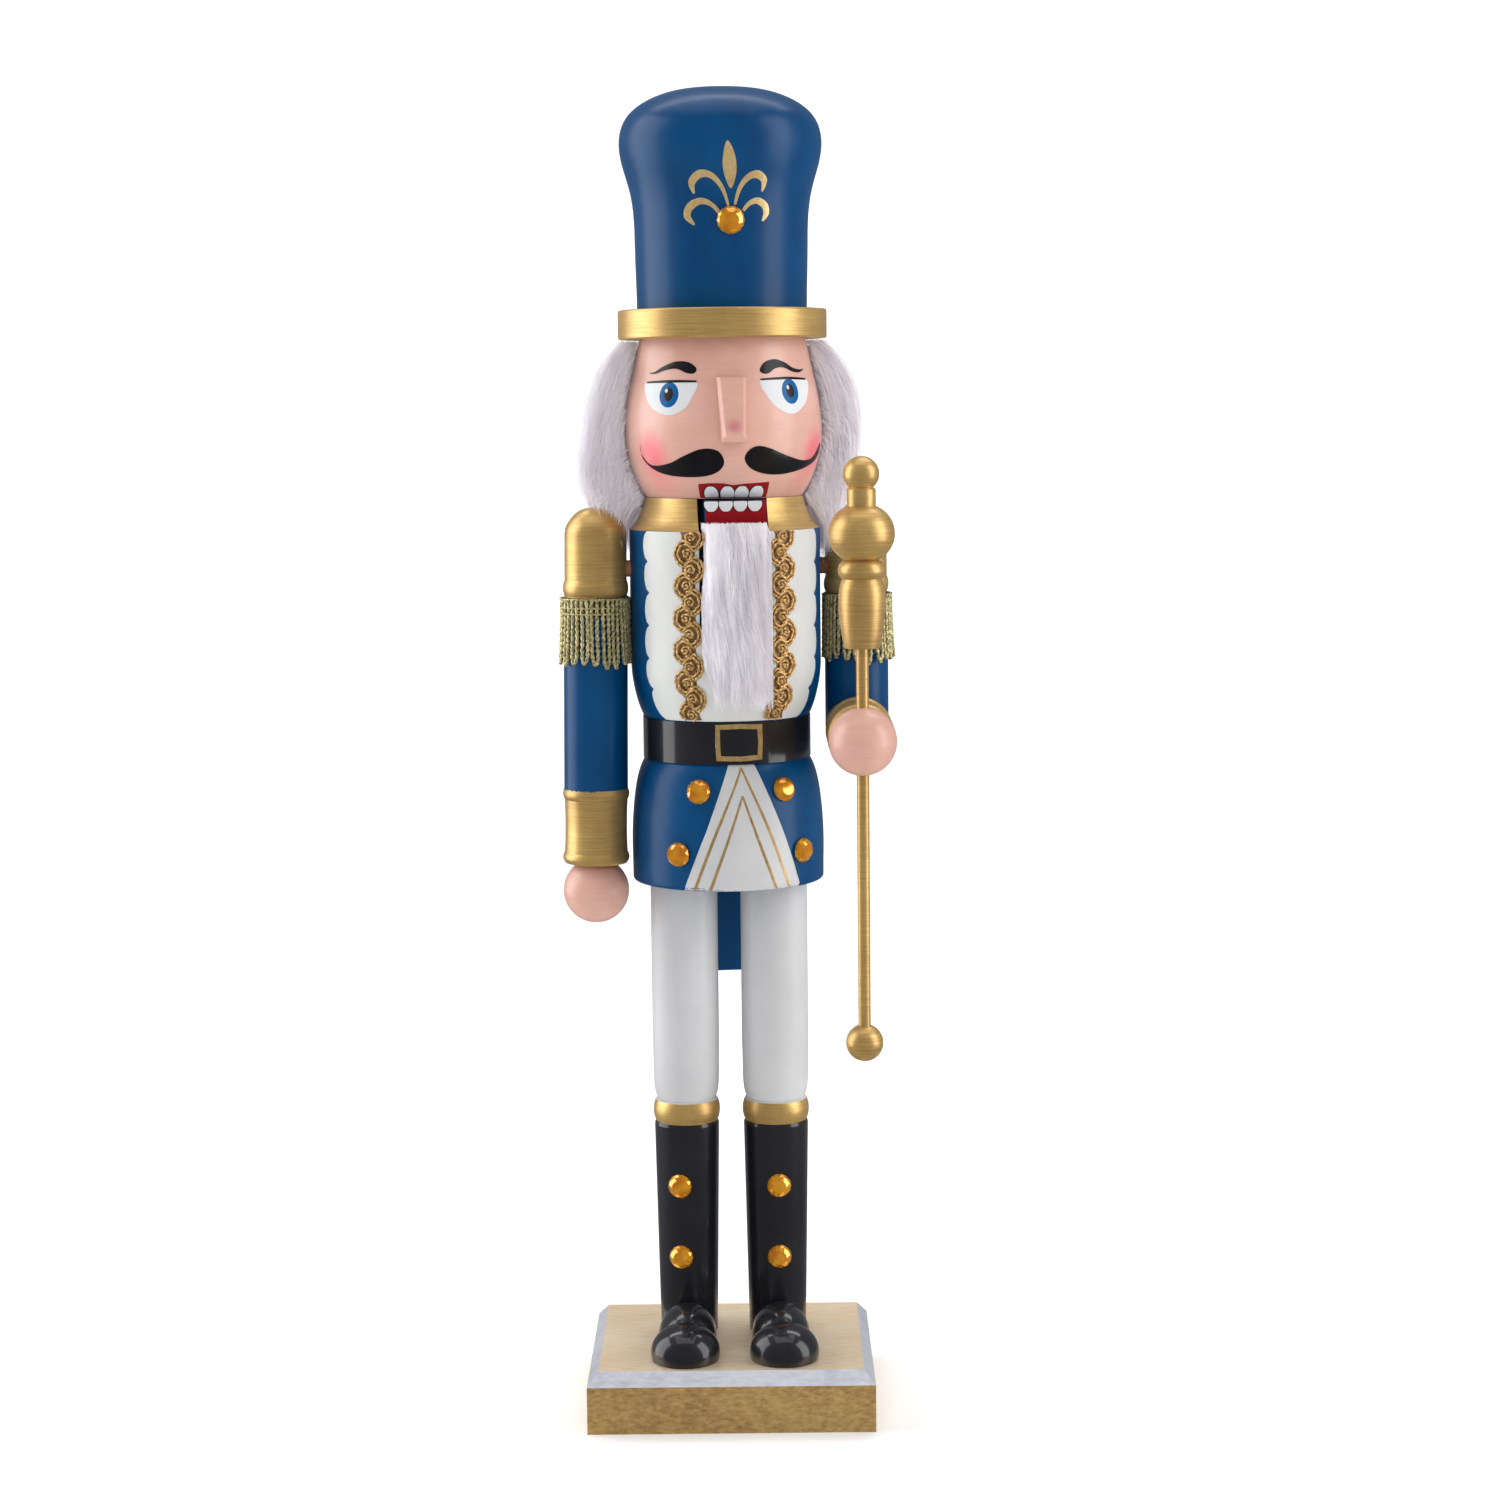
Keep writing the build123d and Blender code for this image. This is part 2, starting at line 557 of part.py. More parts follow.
def shoulder_socket(side):
    """The blind hole in an arm for its shoulder dowel, open towards the torso."""
    outer = SHOULDER_DOWEL_OUTER + DOWEL_HOLE_SPARE - ARM_X[side]
    inner = SLEEVE_RADIUS + 1.0
    middle = side * (outer - inner) / 2
    return Pos(middle, 0, SHOULDER_Z) * Rot(0, 90, 0) * Cylinder(DOWEL_RADIUS + GLUE_GAP, outer + inner)


def shoulder_dowel(side):
    middle = (SHOULDER_DOWEL_INNER + SHOULDER_DOWEL_OUTER) / 2
    length = SHOULDER_DOWEL_OUTER - SHOULDER_DOWEL_INNER
    return Pos(side * middle, 0, SHOULDER_Z) * Rot(0, 90, 0) * peg(DOWEL_RADIUS, length)


def fringe(side):
    """The bullion fringe below the epaulette, as a plain soft sleeve, flattened towards the torso."""
    inner = SLEEVE_RADIUS + 0.05
    height = FRINGE_TOP - FRINGE_BOTTOM
    skirt = Cylinder(inner + FRINGE_THICKNESS, height) - Cylinder(inner, 2 * height)
    room = ARM_X[side] - CHEST_RADIUS - FRINGE_CLEARANCE
    beyond = 2 * inner
    skirt -= Pos(-side * (room + beyond / 2), 0, 0) * Box(beyond, 4 * inner, 2 * height)
    return Pos(0, 0, (FRINGE_TOP + FRINGE_BOTTOM) / 2) * skirt


def hand():
    """A ball with a flat where it meets the cuff, which lies in the XY plane above it."""
    ball = Pos(0, 0, -HAND_STANDOFF) * Sphere(HAND_RADIUS)
    ball -= Pos(0, 0, HAND_RADIUS) * Box(4 * HAND_RADIUS, 4 * HAND_RADIUS, 2 * HAND_RADIUS)
    return ball - hole(DOWEL_RADIUS, 2 * DOWEL_REACH)


ELBOW_CUT = Plane(origin=(0, 0, ELBOW_Z), x_dir=(1, 0, 0), z_dir=(0, 1, 1))
ELBOW_DOWEL_PLACE = ELBOW_CUT.location


def above_elbow():
    """A large block on the upper side of the elbow's mitre."""
    size = 200.0
    return ELBOW_CUT * (Pos(0, 0, size / 2) * Box(size, size, size))


def left_upper_arm():
    """Epaulette and upper sleeve, mitred at the elbow."""
    low = ELBOW_Z - 2 * SLEEVE_RADIUS
    solid = turned(
        *epaulette_curves(),
        Polyline((SLEEVE_RADIUS, SLEEVE_TOP), (SLEEVE_RADIUS, low), (0, low), (0, ARM_TOP)),
    )
    solid = solid & above_elbow()
    return solid - ELBOW_DOWEL_PLACE * hole(DOWEL_RADIUS, 2 * DOWEL_REACH)


def along_forearm(shape):
    """Lay a shape made along -Z from the origin forward from the elbow."""
    return Pos(0, 0, ELBOW_Z) * Rot(-90, 0, 0) * shape


def left_forearm():
    """Lower sleeve and cuff, mitred at the elbow."""
    behind = 2 * SLEEVE_RADIUS
    solid = turned(
        Polyline((0, behind), (SLEEVE_RADIUS, behind), (SLEEVE_RADIUS, CUFF_LENGTH - FOREARM_LENGTH)),
        *cuff_curves(-FOREARM_LENGTH),
        Line((0, -FOREARM_LENGTH), (0, behind)),
    )
    solid -= Pos(0, 0, -FOREARM_LENGTH) * hole(DOWEL_RADIUS, 2 * DOWEL_REACH)
    solid = along_forearm(solid) - above_elbow()
    return solid - ELBOW_DOWEL_PLACE * hole(DOWEL_RADIUS, 2 * DOWEL_REACH)


STAFF_FORWARD = FOREARM_LENGTH + HAND_STANDOFF


def staff_rod():
    bottom = STAFF_BALL_Z + STAFF_BALL_RADIUS - BALL_SOCKET
    top = MACE_BOTTOM + MACE_SOCKET
    return Pos(0, -STAFF_FORWARD, (bottom + top) / 2) * Cylinder(STAFF_RADIUS, top - bottom)


def left_hand():
    """The hand ball on the forearm, drilled upright for the staff."""
    bore = Pos(0, -STAFF_FORWARD, ELBOW_Z) * Cylinder(STAFF_RADIUS + GLUE_GAP, 4 * HAND_RADIUS)
    wrist_peg_clear = along_forearm(Pos(0, 0, -FOREARM_LENGTH) * hand())
    return wrist_peg_clear - bore


def left_wrist_dowel():
    """Shorter in the hand than the other wrist's, to end before the staff's bore."""
    reach_out = HAND_STANDOFF - STAFF_RADIUS - 1.0
    length = DOWEL_REACH + reach_out
    middle = Pos(0, 0, -FOREARM_LENGTH + (DOWEL_REACH - reach_out) / 2)
    return along_forearm(middle * peg(DOWEL_RADIUS, length))


def mace():
    """The staff's head: a small ball, a neck, a large ball, a ring and a barrel in one turning."""
    solid = turned(
        ThreePointArc(*MACE_SMALL_BALL),
        Polyline(*MACE_NECK),
        ThreePointArc(*MACE_LARGE_BALL),
        Line(MACE_LARGE_BALL[-1], MACE_RING[0]),
        ThreePointArc(*MACE_RING),
        Spline(*MACE_BARREL, tangents=((0.5, -1), (-0.25, -1))),
        Polyline(MACE_BARREL[-1], (0, MACE_BOTTOM), (0, MACE_TOP)),
    )
    solid -= Pos(0, 0, MACE_BOTTOM) * hole(STAFF_RADIUS, 2 * MACE_SOCKET)
    return Pos(0, -STAFF_FORWARD, 0) * solid


def staff_ball():
    ball = Pos(0, 0, STAFF_BALL_Z) * Sphere(STAFF_BALL_RADIUS)
    ball -= Pos(0, 0, STAFF_BALL_Z + STAFF_BALL_RADIUS) * hole(STAFF_RADIUS, 2 * BALL_SOCKET)
    return Pos(0, -STAFF_FORWARD, 0) * ball


# ---------------------------------------------------------------------------
# Rhinestones
# ---------------------------------------------------------------------------

def gem(radius):
    """A flat-backed stone on the XY plane: a girdle, a sloping crown and a flat table."""
    return turned(Polyline(
        (0, 0), (radius, 0), (radius, GEM_GIRDLE), (GEM_TABLE_RADIUS * radius / GEM_RADIUS, GEM_HEIGHT),
        (0, GEM_HEIGHT), (0, 0),
    ))


def surface_radius(curve_points, height):
    """The radius of a turned surface at a height, between two known points of it."""
    (low_radius, low), (high_radius, high) = curve_points
    return low_radius + (high_radius - low_radius) * (height - low) / (high - low)


def on_surface(shape, radius, height, angle, lean=0.0):
    """Stand a shape made on the XY plane outwards from a turned surface, angle 0 being the front."""
    outward = Rot(0, 0, angle) * Pos(0, -radius, height) * Rot(90 + lean, 0, 0)
    return outward * shape


def gems():
    stones = {}
    hat_radius = surface_radius(CROWN_OUTLINE[1:3], HAT_GEM_Z)
    stones["hat_gem"] = on_figure(
        on_surface(gem(HAT_GEM_RADIUS), hat_radius + GLUE_FILM, HAT_GEM_Z, HAT_GEM_ANGLE, HAT_GEM_LEAN)
    )
    number = 0
    for height, half_angle, radius, lean in JACKET_GEMS:
        for side in (-1, 1):
            number += 1
            angle = JACKET_CENTRE_ANGLE + side * half_angle
            stone = on_surface(gem(GEM_RADIUS), radius, height, angle, lean)
            stones[f"jacket_gem_{number}"] = on_figure(stone)
    number = 0
    for side, place in leg_places().items():
        for height in BOOT_GEM_HEIGHTS:
            number += 1
            radius = surface_radius(
                ((BOOT_SOLE_RADIUS, BASE_TOP), (BOOT_TOP_RADIUS, GARTER_BOTTOM)), height
            )
            stone = on_surface(gem(GEM_RADIUS), radius + GLUE_FILM, height, BOOT_GEM_ANGLES[side])
            stones[f"boot_gem_{number}"] = place * stone
    return stones


# ---------------------------------------------------------------------------
# Assembly: one named node per physical piece
# ---------------------------------------------------------------------------

SIDE_NAMES = {-1: "right", 1: "left"}


def lower_body():
    nodes = {"base_block": base_block()}
    leg_solid = leg()
    foot_solid = foot()
    dowel = peg(LEG_DOWEL_RADIUS, 2 * DOWEL_REACH)
    for side, place in leg_places().items():
        name = SIDE_NAMES[side]
        nodes[f"{name}_leg"] = place * leg_solid
        nodes[f"{name}_foot"] = place * Rot(0, 0, side * FOOT_SPLAY[side]) * foot_solid
        nodes[f"{name}_ankle_dowel"] = place * Pos(0, 0, BASE_TOP) * dowel
        nodes[f"{name}_hip_dowel"] = place * Pos(0, 0, HEM) * dowel
    return nodes


def upper_body():
    nodes = {
        "torso": torso(),
        "jaw_lever": jaw_lever(),
        "jaw_pin": jaw_pin(),
        "beard": beard(),
        "head": head(),
        "nose": nose(),
        "hair": hair(),
        "hat_brim": hat_brim(),
        "hat_crown": hat_crown(),
        "hat_dowel": hat_dowel(),
    }
    for side, name in SIDE_NAMES.items():
        nodes[f"{name}_braid"] = braid(side * BRAID_ANGLE)
        neck = Pos(side * NECK_DOWEL_X, 0, TORSO_TOP)
        nodes[f"{name}_neck_dowel"] = neck * peg(DOWEL_RADIUS, 2 * DOWEL_REACH)
    return {name: on_figure(shape) for name, shape in nodes.items()}


def right_arm():
    """The straight arm, turned outwards a little about its shoulder."""
    shoulder = Pos(0, 0, SHOULDER_Z)
    splay = shoulder * Rot(0, RIGHT_ARM_SPLAY, 0) * shoulder.inverse()
    place = Pos(-ARM_X[-1], 0, 0) * splay
    wrist = Pos(0, 0, WRIST_Z)
    nodes = {
        "right_arm": place * (straight_arm() - splay.inverse() * shoulder_socket(-1)),
        "right_hand": place * wrist * hand(),
        "right_wrist_dowel": place * wrist * peg(DOWEL_RADIUS, 2 * DOWEL_REACH),
        "right_fringe": place * fringe(-1),
        "right_shoulder_dowel": shoulder_dowel(-1),
    }
    return {name: on_figure(shape) for name, shape in nodes.items()}


def left_arm():
    """The bent arm with the staff, its forearm toed in from the shoulder's own front."""
    place = Pos(ARM_X[1], 0, 0) * Rot(0, 0, -FOREARM_TOE_IN)
    nodes = {
        "left_forearm": left_forearm(),
        "left_elbow_dowel": ELBOW_DOWEL_PLACE * peg(DOWEL_RADIUS, 2 * DOWEL_REACH),
        "left_hand": left_hand(),
        "left_wrist_dowel": left_wrist_dowel(),
        "staff_rod": staff_rod(),
        "staff_mace": mace(),
        "staff_ball": staff_ball(),
    }
    nodes = {name: place * shape for name, shape in nodes.items()}
    shoulder = Pos(ARM_X[1], 0, 0)
    nodes["left_upper_arm"] = place * left_upper_arm() - shoulder * shoulder_socket(1)
    nodes["left_fringe"] = shoulder * fringe(1)
    nodes["left_shoulder_dowel"] = shoulder_dowel(1)
    return {name: on_figure(shape) for name, shape in nodes.items()}


def main():
    nodes = {**lower_body(), **upper_body(), **right_arm(), **left_arm(), **gems()}
    os.makedirs("parts", exist_ok=True)
    for name, shape in nodes.items():
        export_step(shape, f"parts/{name}.step")
        print(f"{name:24s} volume {shape.volume:10.1f}")


main()
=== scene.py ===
import json
import math

import bpy
import numpy as np
from mathutils import Matrix, Vector
from mathutils.geometry import delaunay_2d_cdt


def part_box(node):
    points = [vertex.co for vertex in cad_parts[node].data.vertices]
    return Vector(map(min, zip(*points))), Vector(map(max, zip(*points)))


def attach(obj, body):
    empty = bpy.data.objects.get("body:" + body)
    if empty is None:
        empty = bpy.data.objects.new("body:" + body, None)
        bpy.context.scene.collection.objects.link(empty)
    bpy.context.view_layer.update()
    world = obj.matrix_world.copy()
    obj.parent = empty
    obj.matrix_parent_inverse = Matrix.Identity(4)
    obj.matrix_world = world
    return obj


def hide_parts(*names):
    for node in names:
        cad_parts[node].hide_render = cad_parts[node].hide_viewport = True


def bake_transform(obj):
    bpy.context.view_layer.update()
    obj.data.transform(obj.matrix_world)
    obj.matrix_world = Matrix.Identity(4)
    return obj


# Looks of the nutcracker figure. Metres in the row frame; sizes named _MM are
# millimetres. Paint is laid out as (across, height): millimetres round a turned
# surface from a named middle, and millimetres above the floor.

MM = 0.001
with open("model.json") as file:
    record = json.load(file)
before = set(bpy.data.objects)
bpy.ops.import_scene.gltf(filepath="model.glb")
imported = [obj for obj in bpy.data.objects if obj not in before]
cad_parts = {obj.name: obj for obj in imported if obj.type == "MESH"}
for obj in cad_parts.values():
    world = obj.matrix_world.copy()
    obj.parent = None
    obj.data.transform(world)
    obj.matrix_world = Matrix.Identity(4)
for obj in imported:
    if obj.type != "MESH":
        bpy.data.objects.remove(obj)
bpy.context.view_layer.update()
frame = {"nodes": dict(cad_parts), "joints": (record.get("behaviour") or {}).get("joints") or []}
nodes = frame["nodes"]
joints = {joint["name"]: joint for joint in frame["joints"]}

brim_low, brim_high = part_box("hat_brim")
AXIS = Vector(((brim_low.x + brim_high.x) / 2, (brim_low.y + brim_high.y) / 2, 0.0))
hinge_axis = joints["jaw_hinge"]["axis"]
TURN = math.degrees(math.atan2(hinge_axis[1], hinge_axis[0]))  # the upper body's turn

# Angles from the front towards the figure's left, in degrees
FACE_TURN = TURN - 2.5
HAT_TURN = TURN + 1.0
CHEST_TURN = 7.6
SKIRT_TURN = 9.8
SLOT_MIDDLE = TURN

# Heights of the painted zones, in mm, as the turnings are cut
GARTER_MM = (81.1, 87.4)
BELT_MM = (189.3, 201.3)
COLLAR_MM = 255.4
SLOT_FLOOR_MM = 227.2
SLOT_HALF_WIDTH_MM = 9.9
SLOT_INSIDE_MM = 21.0  # faces of the torso nearer to its axis than this are in the slot
CUFF_LENGTH_MM = 21.8
SLEEVE_TOP_MM = 236.2
BASE_WALL_MM = 13.7
HEAD_RADIUS_MM = 28.45
CHEST_RADIUS_MM = 27.55
HIP_RADIUS_MM = 27.95
HAT_RADIUS_MM = 25.6
JAW_FRONT_MM = 25.4

rng = np.random.default_rng(12)


# ----- Materials -----

class Shader:
    """A principled material and the procedural textures that feed it."""

    def __init__(self, name, **sockets):
        self.material = bpy.data.materials.new(name)
        self.material.use_nodes = True
        self.tree = self.material.node_tree
        self.bsdf = self.tree.nodes["Principled BSDF"]
        for socket, value in sockets.items():
            self.bsdf.inputs[socket.replace("_", " ")].default_value = value

    def node(self, kind, **properties):
        made = self.tree.nodes.new(kind)
        for name, value in properties.items():
            setattr(made, name, value)
        return made

    def link(self, source, target):
        self.tree.links.new(source, target)

    def feed(self, **sources):
        """Link each source to the shader's own socket of that name."""
        for socket, source in sources.items():
            self.link(source, self.bsdf.inputs[socket.replace("_", " ")])

    def place(self, stretch):
        """Object coordinates, stretched along each axis."""
        coordinates = self.node("ShaderNodeTexCoord")
        mapping = self.node("ShaderNodeMapping")
        mapping.inputs["Scale"].default_value = stretch
        self.link(coordinates.outputs["Object"], mapping.inputs["Vector"])
        return mapping.outputs["Vector"]

    def noise(self, stretch, detail=4.0, roughness=0.55, distortion=0.0):
        texture = self.node("ShaderNodeTexNoise")
        texture.inputs["Scale"].default_value = 1.0
        texture.inputs["Detail"].default_value = detail
        texture.inputs["Roughness"].default_value = roughness
        texture.inputs["Distortion"].default_value = distortion
        self.link(self.place(stretch), texture.inputs["Vector"])
        return texture.outputs["Fac"]

    def ramp(self, factor, *stops):
        """A colour ramp of (position, colour) stops; a plain number stands for a grey."""
        ramp = self.node("ShaderNodeValToRGB")
        elements = ramp.color_ramp.elements
        while len(elements) < len(stops):
            elements.new(0.5)
        for element, (position, colour) in zip(elements, stops):
            element.position = position
            grey = isinstance(colour, (int, float))
            element.color = (colour, colour, colour, 1.0) if grey else (*colour, 1.0)
        self.link(factor, ramp.inputs["Fac"])
        return ramp.outputs["Color"]

    def mix(self, factor, first, second, blend="MIX"):
        mixer = self.node("ShaderNodeMix", data_type="RGBA", blend_type=blend)
        for value, socket in ((factor, 0), (first, 6), (second, 7)):
            if isinstance(value, bpy.types.NodeSocket):
                self.link(value, mixer.inputs[socket])
            elif socket == 0:
                mixer.inputs[socket].default_value = value
            else:
                mixer.inputs[socket].default_value = (*value, 1.0)
        return mixer.outputs[2]

    def near(self, point, radius, softness):
        """1 close to a point, fading to 0 at a radius."""
        coordinates = self.node("ShaderNodeTexCoord")
        distance = self.node("ShaderNodeVectorMath", operation="DISTANCE")
        distance.inputs[1].default_value = point
        self.link(coordinates.outputs["Object"], distance.inputs[0])
        fade = self.node("ShaderNodeMapRange", interpolation_type="SMOOTHERSTEP")
        fade.inputs["From Min"].default_value = radius
        fade.inputs["From Max"].default_value = radius * (1.0 - softness)
        self.link(distance.outputs["Value"], fade.inputs["Value"])
        return fade.outputs["Result"]

    def scaled(self, value, factor):
        product = self.node("ShaderNodeMath", operation="MULTIPLY")
        product.inputs[1].default_value = factor
        self.link(value, product.inputs[0])
        return product.outputs[0]

    def bump(self, height, strength, distance):
        bump = self.node("ShaderNodeBump")
        bump.inputs["Strength"].default_value = strength
        bump.inputs["Distance"].default_value = distance
        self.link(height, bump.inputs["Height"])
        self.feed(Normal=bump.outputs["Normal"])


RING_LINES = (60.0, 60.0, 5200.0)
EVEN = (700.0, 700.0, 700.0)


def lacquer(name, dark, light, roughness=(0.32, 0.44), coat=0.2, coat_roughness=0.14, grain=0.06):
    """Brushed gloss paint on turned wood: faint rings, drifts of tone and a clear coat."""
    shader = Shader(name, Coat_Weight=coat, Coat_Roughness=coat_roughness, Specular_IOR_Level=0.14)
    drift = shader.noise((45.0, 45.0, 30.0), detail=3.0)
    rings = shader.noise(RING_LINES, detail=6.0, roughness=0.7)
    tone = shader.mix(grain, shader.ramp(drift, (0.3, dark), (0.72, light)), rings, "OVERLAY")
    shader.feed(Base_Color=tone, Roughness=shader.ramp(rings, (0.3, roughness[0]), (0.7, roughness[1])))
    shader.bump(rings, 0.025, 0.0002)
    return shader.material


def gold_paint(name, dark, light, stretch=RING_LINES, metallic=0.6, roughness=(0.3, 0.46), specks=0.72):
    """Metallic paint with brush lines that run with the stretch, and fine dark pits."""
    shader = Shader(name, Metallic=metallic, Specular_IOR_Level=0.5, Coat_Weight=0.2, Coat_Roughness=0.3)
    lines = shader.noise(stretch, detail=6.0, roughness=0.68)
    drift = shader.noise((70.0, 70.0, 50.0), detail=3.0)
    tone = shader.mix(0.4, shader.ramp(lines, (0.28, dark), (0.7, light)), drift, "OVERLAY")
    pits = shader.ramp(shader.noise((1500.0,) * 3, detail=2.0), (specks, 0.0), (specks + 0.05, 1.0))
    pitted = shader.mix(pits, tone, tuple(0.25 * channel for channel in dark))
    gloss, matt = roughness
    shader.feed(Base_Color=pitted, Roughness=shader.ramp(lines, (0.25, matt), (0.75, gloss)))
    shader.bump(lines, 0.22, 0.0002)
    return shader.material


def thread(name, dark, light, metallic, roughness=0.42):
    """Metallic or plain yarn: each strand shifts between dark and light along its length, partly its own tone
    and partly painted glints and shade of the twist.
    """
    shader = Shader(name, Metallic=metallic, Roughness=roughness, Specular_IOR_Level=0.5)
    fibre_tone_and_glints = shader.noise((1300.0,) * 3, detail=4.0, roughness=0.7)
    shader.feed(Base_Color=shader.ramp(fibre_tone_and_glints, (0.34, dark), (0.6, light)))
    shader.bump(fibre_tone_and_glints, 0.5, 0.0003)
    return shader.material


def fur_material(name, shade, light):
    """Plush fibre; a weak glow stands in for the light that scatters inside the pile."""
    shader = Shader(
        name, Roughness=0.6, Sheen_Weight=0.3, Sheen_Roughness=0.5, Specular_IOR_Level=0.2,
        Emission_Strength=0.05, Emission_Color=(0.95, 0.93, 1.0, 1.0),
    )
    strands = shader.noise((420.0, 420.0, 60.0), detail=4.0)
    shader.feed(Base_Color=shader.ramp(strands, (0.3, shade), (0.62, light)))
    return shader.material


# Sprayed blush on the cheeks: (across, height), radius in mm and strength
BLUSH_SPOTS = (
    ((-25.2, 277.6), 9.5, 0.8), ((32.0, 278.0), 9.5, 0.8),
    ((-23.0, 271.5), 11.0, 0.35), ((30.0, 272.0), 11.0, 0.3),
)
BLUSH = (0.80, 0.10, 0.15)
NOSE_SPOT = (1.1, 285.0)  # across and height
NOSE_SPOT_RADIUS_MM = 3.8
NOSE_BLUSH = (0.52, 0.12, 0.16)
NOSE_FRONT_MM = 35.0  # the nose's tip, from the figure's axis


def skin_material():
    """Skin-coloured lacquer with the sprayed blush on both cheeks and the nose."""
    shader = Shader(
        "skin", Coat_Weight=0.35, Coat_Roughness=0.2, Specular_IOR_Level=0.4, Subsurface_Weight=0.05,
        Subsurface_Scale=0.002,
    )
    drift = shader.noise((40.0, 40.0, 55.0), detail=4.0)
    rings = shader.noise((150.0, 150.0, 1800.0), detail=5.0, roughness=0.7)
    tone = shader.ramp(drift, (0.3, (0.60, 0.325, 0.255)), (0.7, (0.74, 0.43, 0.35)))
    tone = shader.mix(0.12, tone, rings, "OVERLAY")
    for (across, height), radius, amount in BLUSH_SPOTS:
        place, _ = on_head(across, height)
        tone = shader.mix(shader.scaled(shader.near(place, radius * MM, 1.0), amount), tone, BLUSH)
    nose_tip, _ = flat_front(NOSE_FRONT_MM, FACE_TURN)(*NOSE_SPOT)
    dab = shader.scaled(shader.near(nose_tip, NOSE_SPOT_RADIUS_MM * MM, 1.0), 0.75)
    tone = shader.mix(dab, tone, NOSE_BLUSH)
    shader.feed(Base_Color=tone, Roughness=shader.ramp(rings, (0.3, 0.34), (0.7, 0.48)))
    shader.bump(rings, 0.08, 0.0002)
    return shader.material


# ----- Surfaces to paint on -----

def round_surface(node, middle, radius_mm):
    """Maps (across, height) to a point and normal on a turned CAD node, from its outside."""
    solid = nodes[node]
    outside = 0.09  # further from the axis than any piece that is painted

    def place(across, height):
        angle = math.radians(middle) + across / radius_mm
        outward = Vector((math.sin(angle), -math.cos(angle), 0.0))
        start = AXIS + outside * outward + Vector((0.0, 0.0, height * MM))
        hit, point, normal, _ = solid.ray_cast(start, -outward)
        if not hit:
            point = AXIS + radius_mm * MM * outward + Vector((0.0, 0.0, height * MM))
            normal = outward
        return point, normal

    return place


def flat_front(depth_mm, turn):
    """Maps (across, height) to a flat face that looks forward, turned about the figure's axis."""
    angle = math.radians(turn)
    forward = Vector((math.sin(angle), -math.cos(angle), 0.0))
    sideways = Vector((math.cos(angle), math.sin(angle), 0.0))

    def place(across, height):
        point = AXIS + MM * (depth_mm * forward + across * sideways) + Vector((0.0, 0.0, height * MM))
        return point, forward

    return place


on_head = round_surface("head", FACE_TURN, HEAD_RADIUS_MM)
on_hat = round_surface("hat_crown", HAT_TURN, HAT_RADIUS_MM)
on_chest = round_surface("torso", CHEST_TURN, CHEST_RADIUS_MM)
on_skirt = round_surface("torso", SKIRT_TURN, HIP_RADIUS_MM)
on_jaw = flat_front(JAW_FRONT_MM, TURN)


# ----- Drawing -----

def smooth_line(points, steps=8, closed=False):
    """A smooth line through the points (Catmull-Rom)."""
    points = [np.array(point, float) for point in points]
    count = len(points)
    spans = count if closed else count - 1
    line = []
    for i in range(spans):
        if closed:
            a, b, c, d = (points[(i + k) % count] for k in (-1, 0, 1, 2))
        else:
            a, b = points[max(i - 1, 0)], points[i]
            c, d = points[i + 1], points[min(i + 2, count - 1)]
        for k in range(steps):
            t = k / steps
            line.append(0.5 * (
                2 * b + (c - a) * t + (2 * a - 5 * b + 4 * c - d) * t ** 2 + (3 * b - a - 3 * c + d) * t ** 3
            ))
    if not closed:
        line.append(points[-1])
    return line


def ellipse(middle, half_width, half_height, count=40):
    turns = np.linspace(0, 2 * math.pi, count, endpoint=False)
    x, y = middle
    return [(x + half_width * math.cos(turn), y + half_height * math.sin(turn)) for turn in turns]


def stroke(points, widths, steps=10, smooth=True):
    """The outline of one brush stroke along a line, with a width at each point."""
    line = smooth_line(points, steps) if smooth else [np.array(point, float) for point in points]
    place = np.linspace(0, len(widths) - 1, len(line))
    halves = np.interp(place, range(len(widths)), widths) / 2
    left, right = [], []
    for i, (point, half) in enumerate(zip(line, halves)):
        ahead = line[min(i + 1, len(line) - 1)] - line[max(i - 1, 0)]
        side = np.array((-ahead[1], ahead[0])) / max(np.linalg.norm(ahead), 1e-9)
        left.append(point + half * side)
        right.append(point - half * side)
    return left + right[::-1]


def inside(point, loop):
    """Even-odd test of a point against one loop."""
    x, y = point
    crossings = False
    for (x1, y1), (x2, y2) in zip(loop, loop[1:] + loop[:1]):
        if (y1 > y) != (y2 > y) and x < (x2 - x1) * (y - y1) / (y2 - y1) + x1:
            crossings = not crossings
    return crossings


def new_object(name, vertices, faces, material, body, smooth=True):
    mesh = bpy.data.meshes.new(name)
    mesh.from_pydata([tuple(v) for v in vertices], [], [tuple(f) for f in faces])
    mesh.materials.append(material)
    if smooth:
        mesh.shade_smooth()
    return placed(name, mesh, body)


def placed(name, mesh, body):
    """Puts a finished mesh in the scene and on its body."""
    made = bpy.data.objects.new(name, mesh)
    bpy.context.scene.collection.objects.link(made)
    if body:
        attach(made, body)
    return made


def grid_faces(rows, columns, start=0, wrap=False):
    """Quads between neighbouring rows of points; wrap joins the end of each row to its start."""
    faces = []
    for i in range(rows - 1):
        for k in range(columns if wrap else columns - 1):
            a = start + i * columns + k
            b = start + i * columns + (k + 1) % columns
            faces.append((a, b, b + columns, a + columns))
    return faces


def closely(loop, step=1.0):
    """The loop with points added along its long edges, so that paint can follow a curved surface."""
    close = []
    for (x1, y1), (x2, y2) in zip(loop, loop[1:] + loop[:1]):
        parts = max(1, math.ceil(math.hypot(x2 - x1, y2 - y1) / step))
        close += [(x1 + (x2 - x1) * k / parts, y1 + (y2 - y1) * k / parts) for k in range(parts)]
    return close


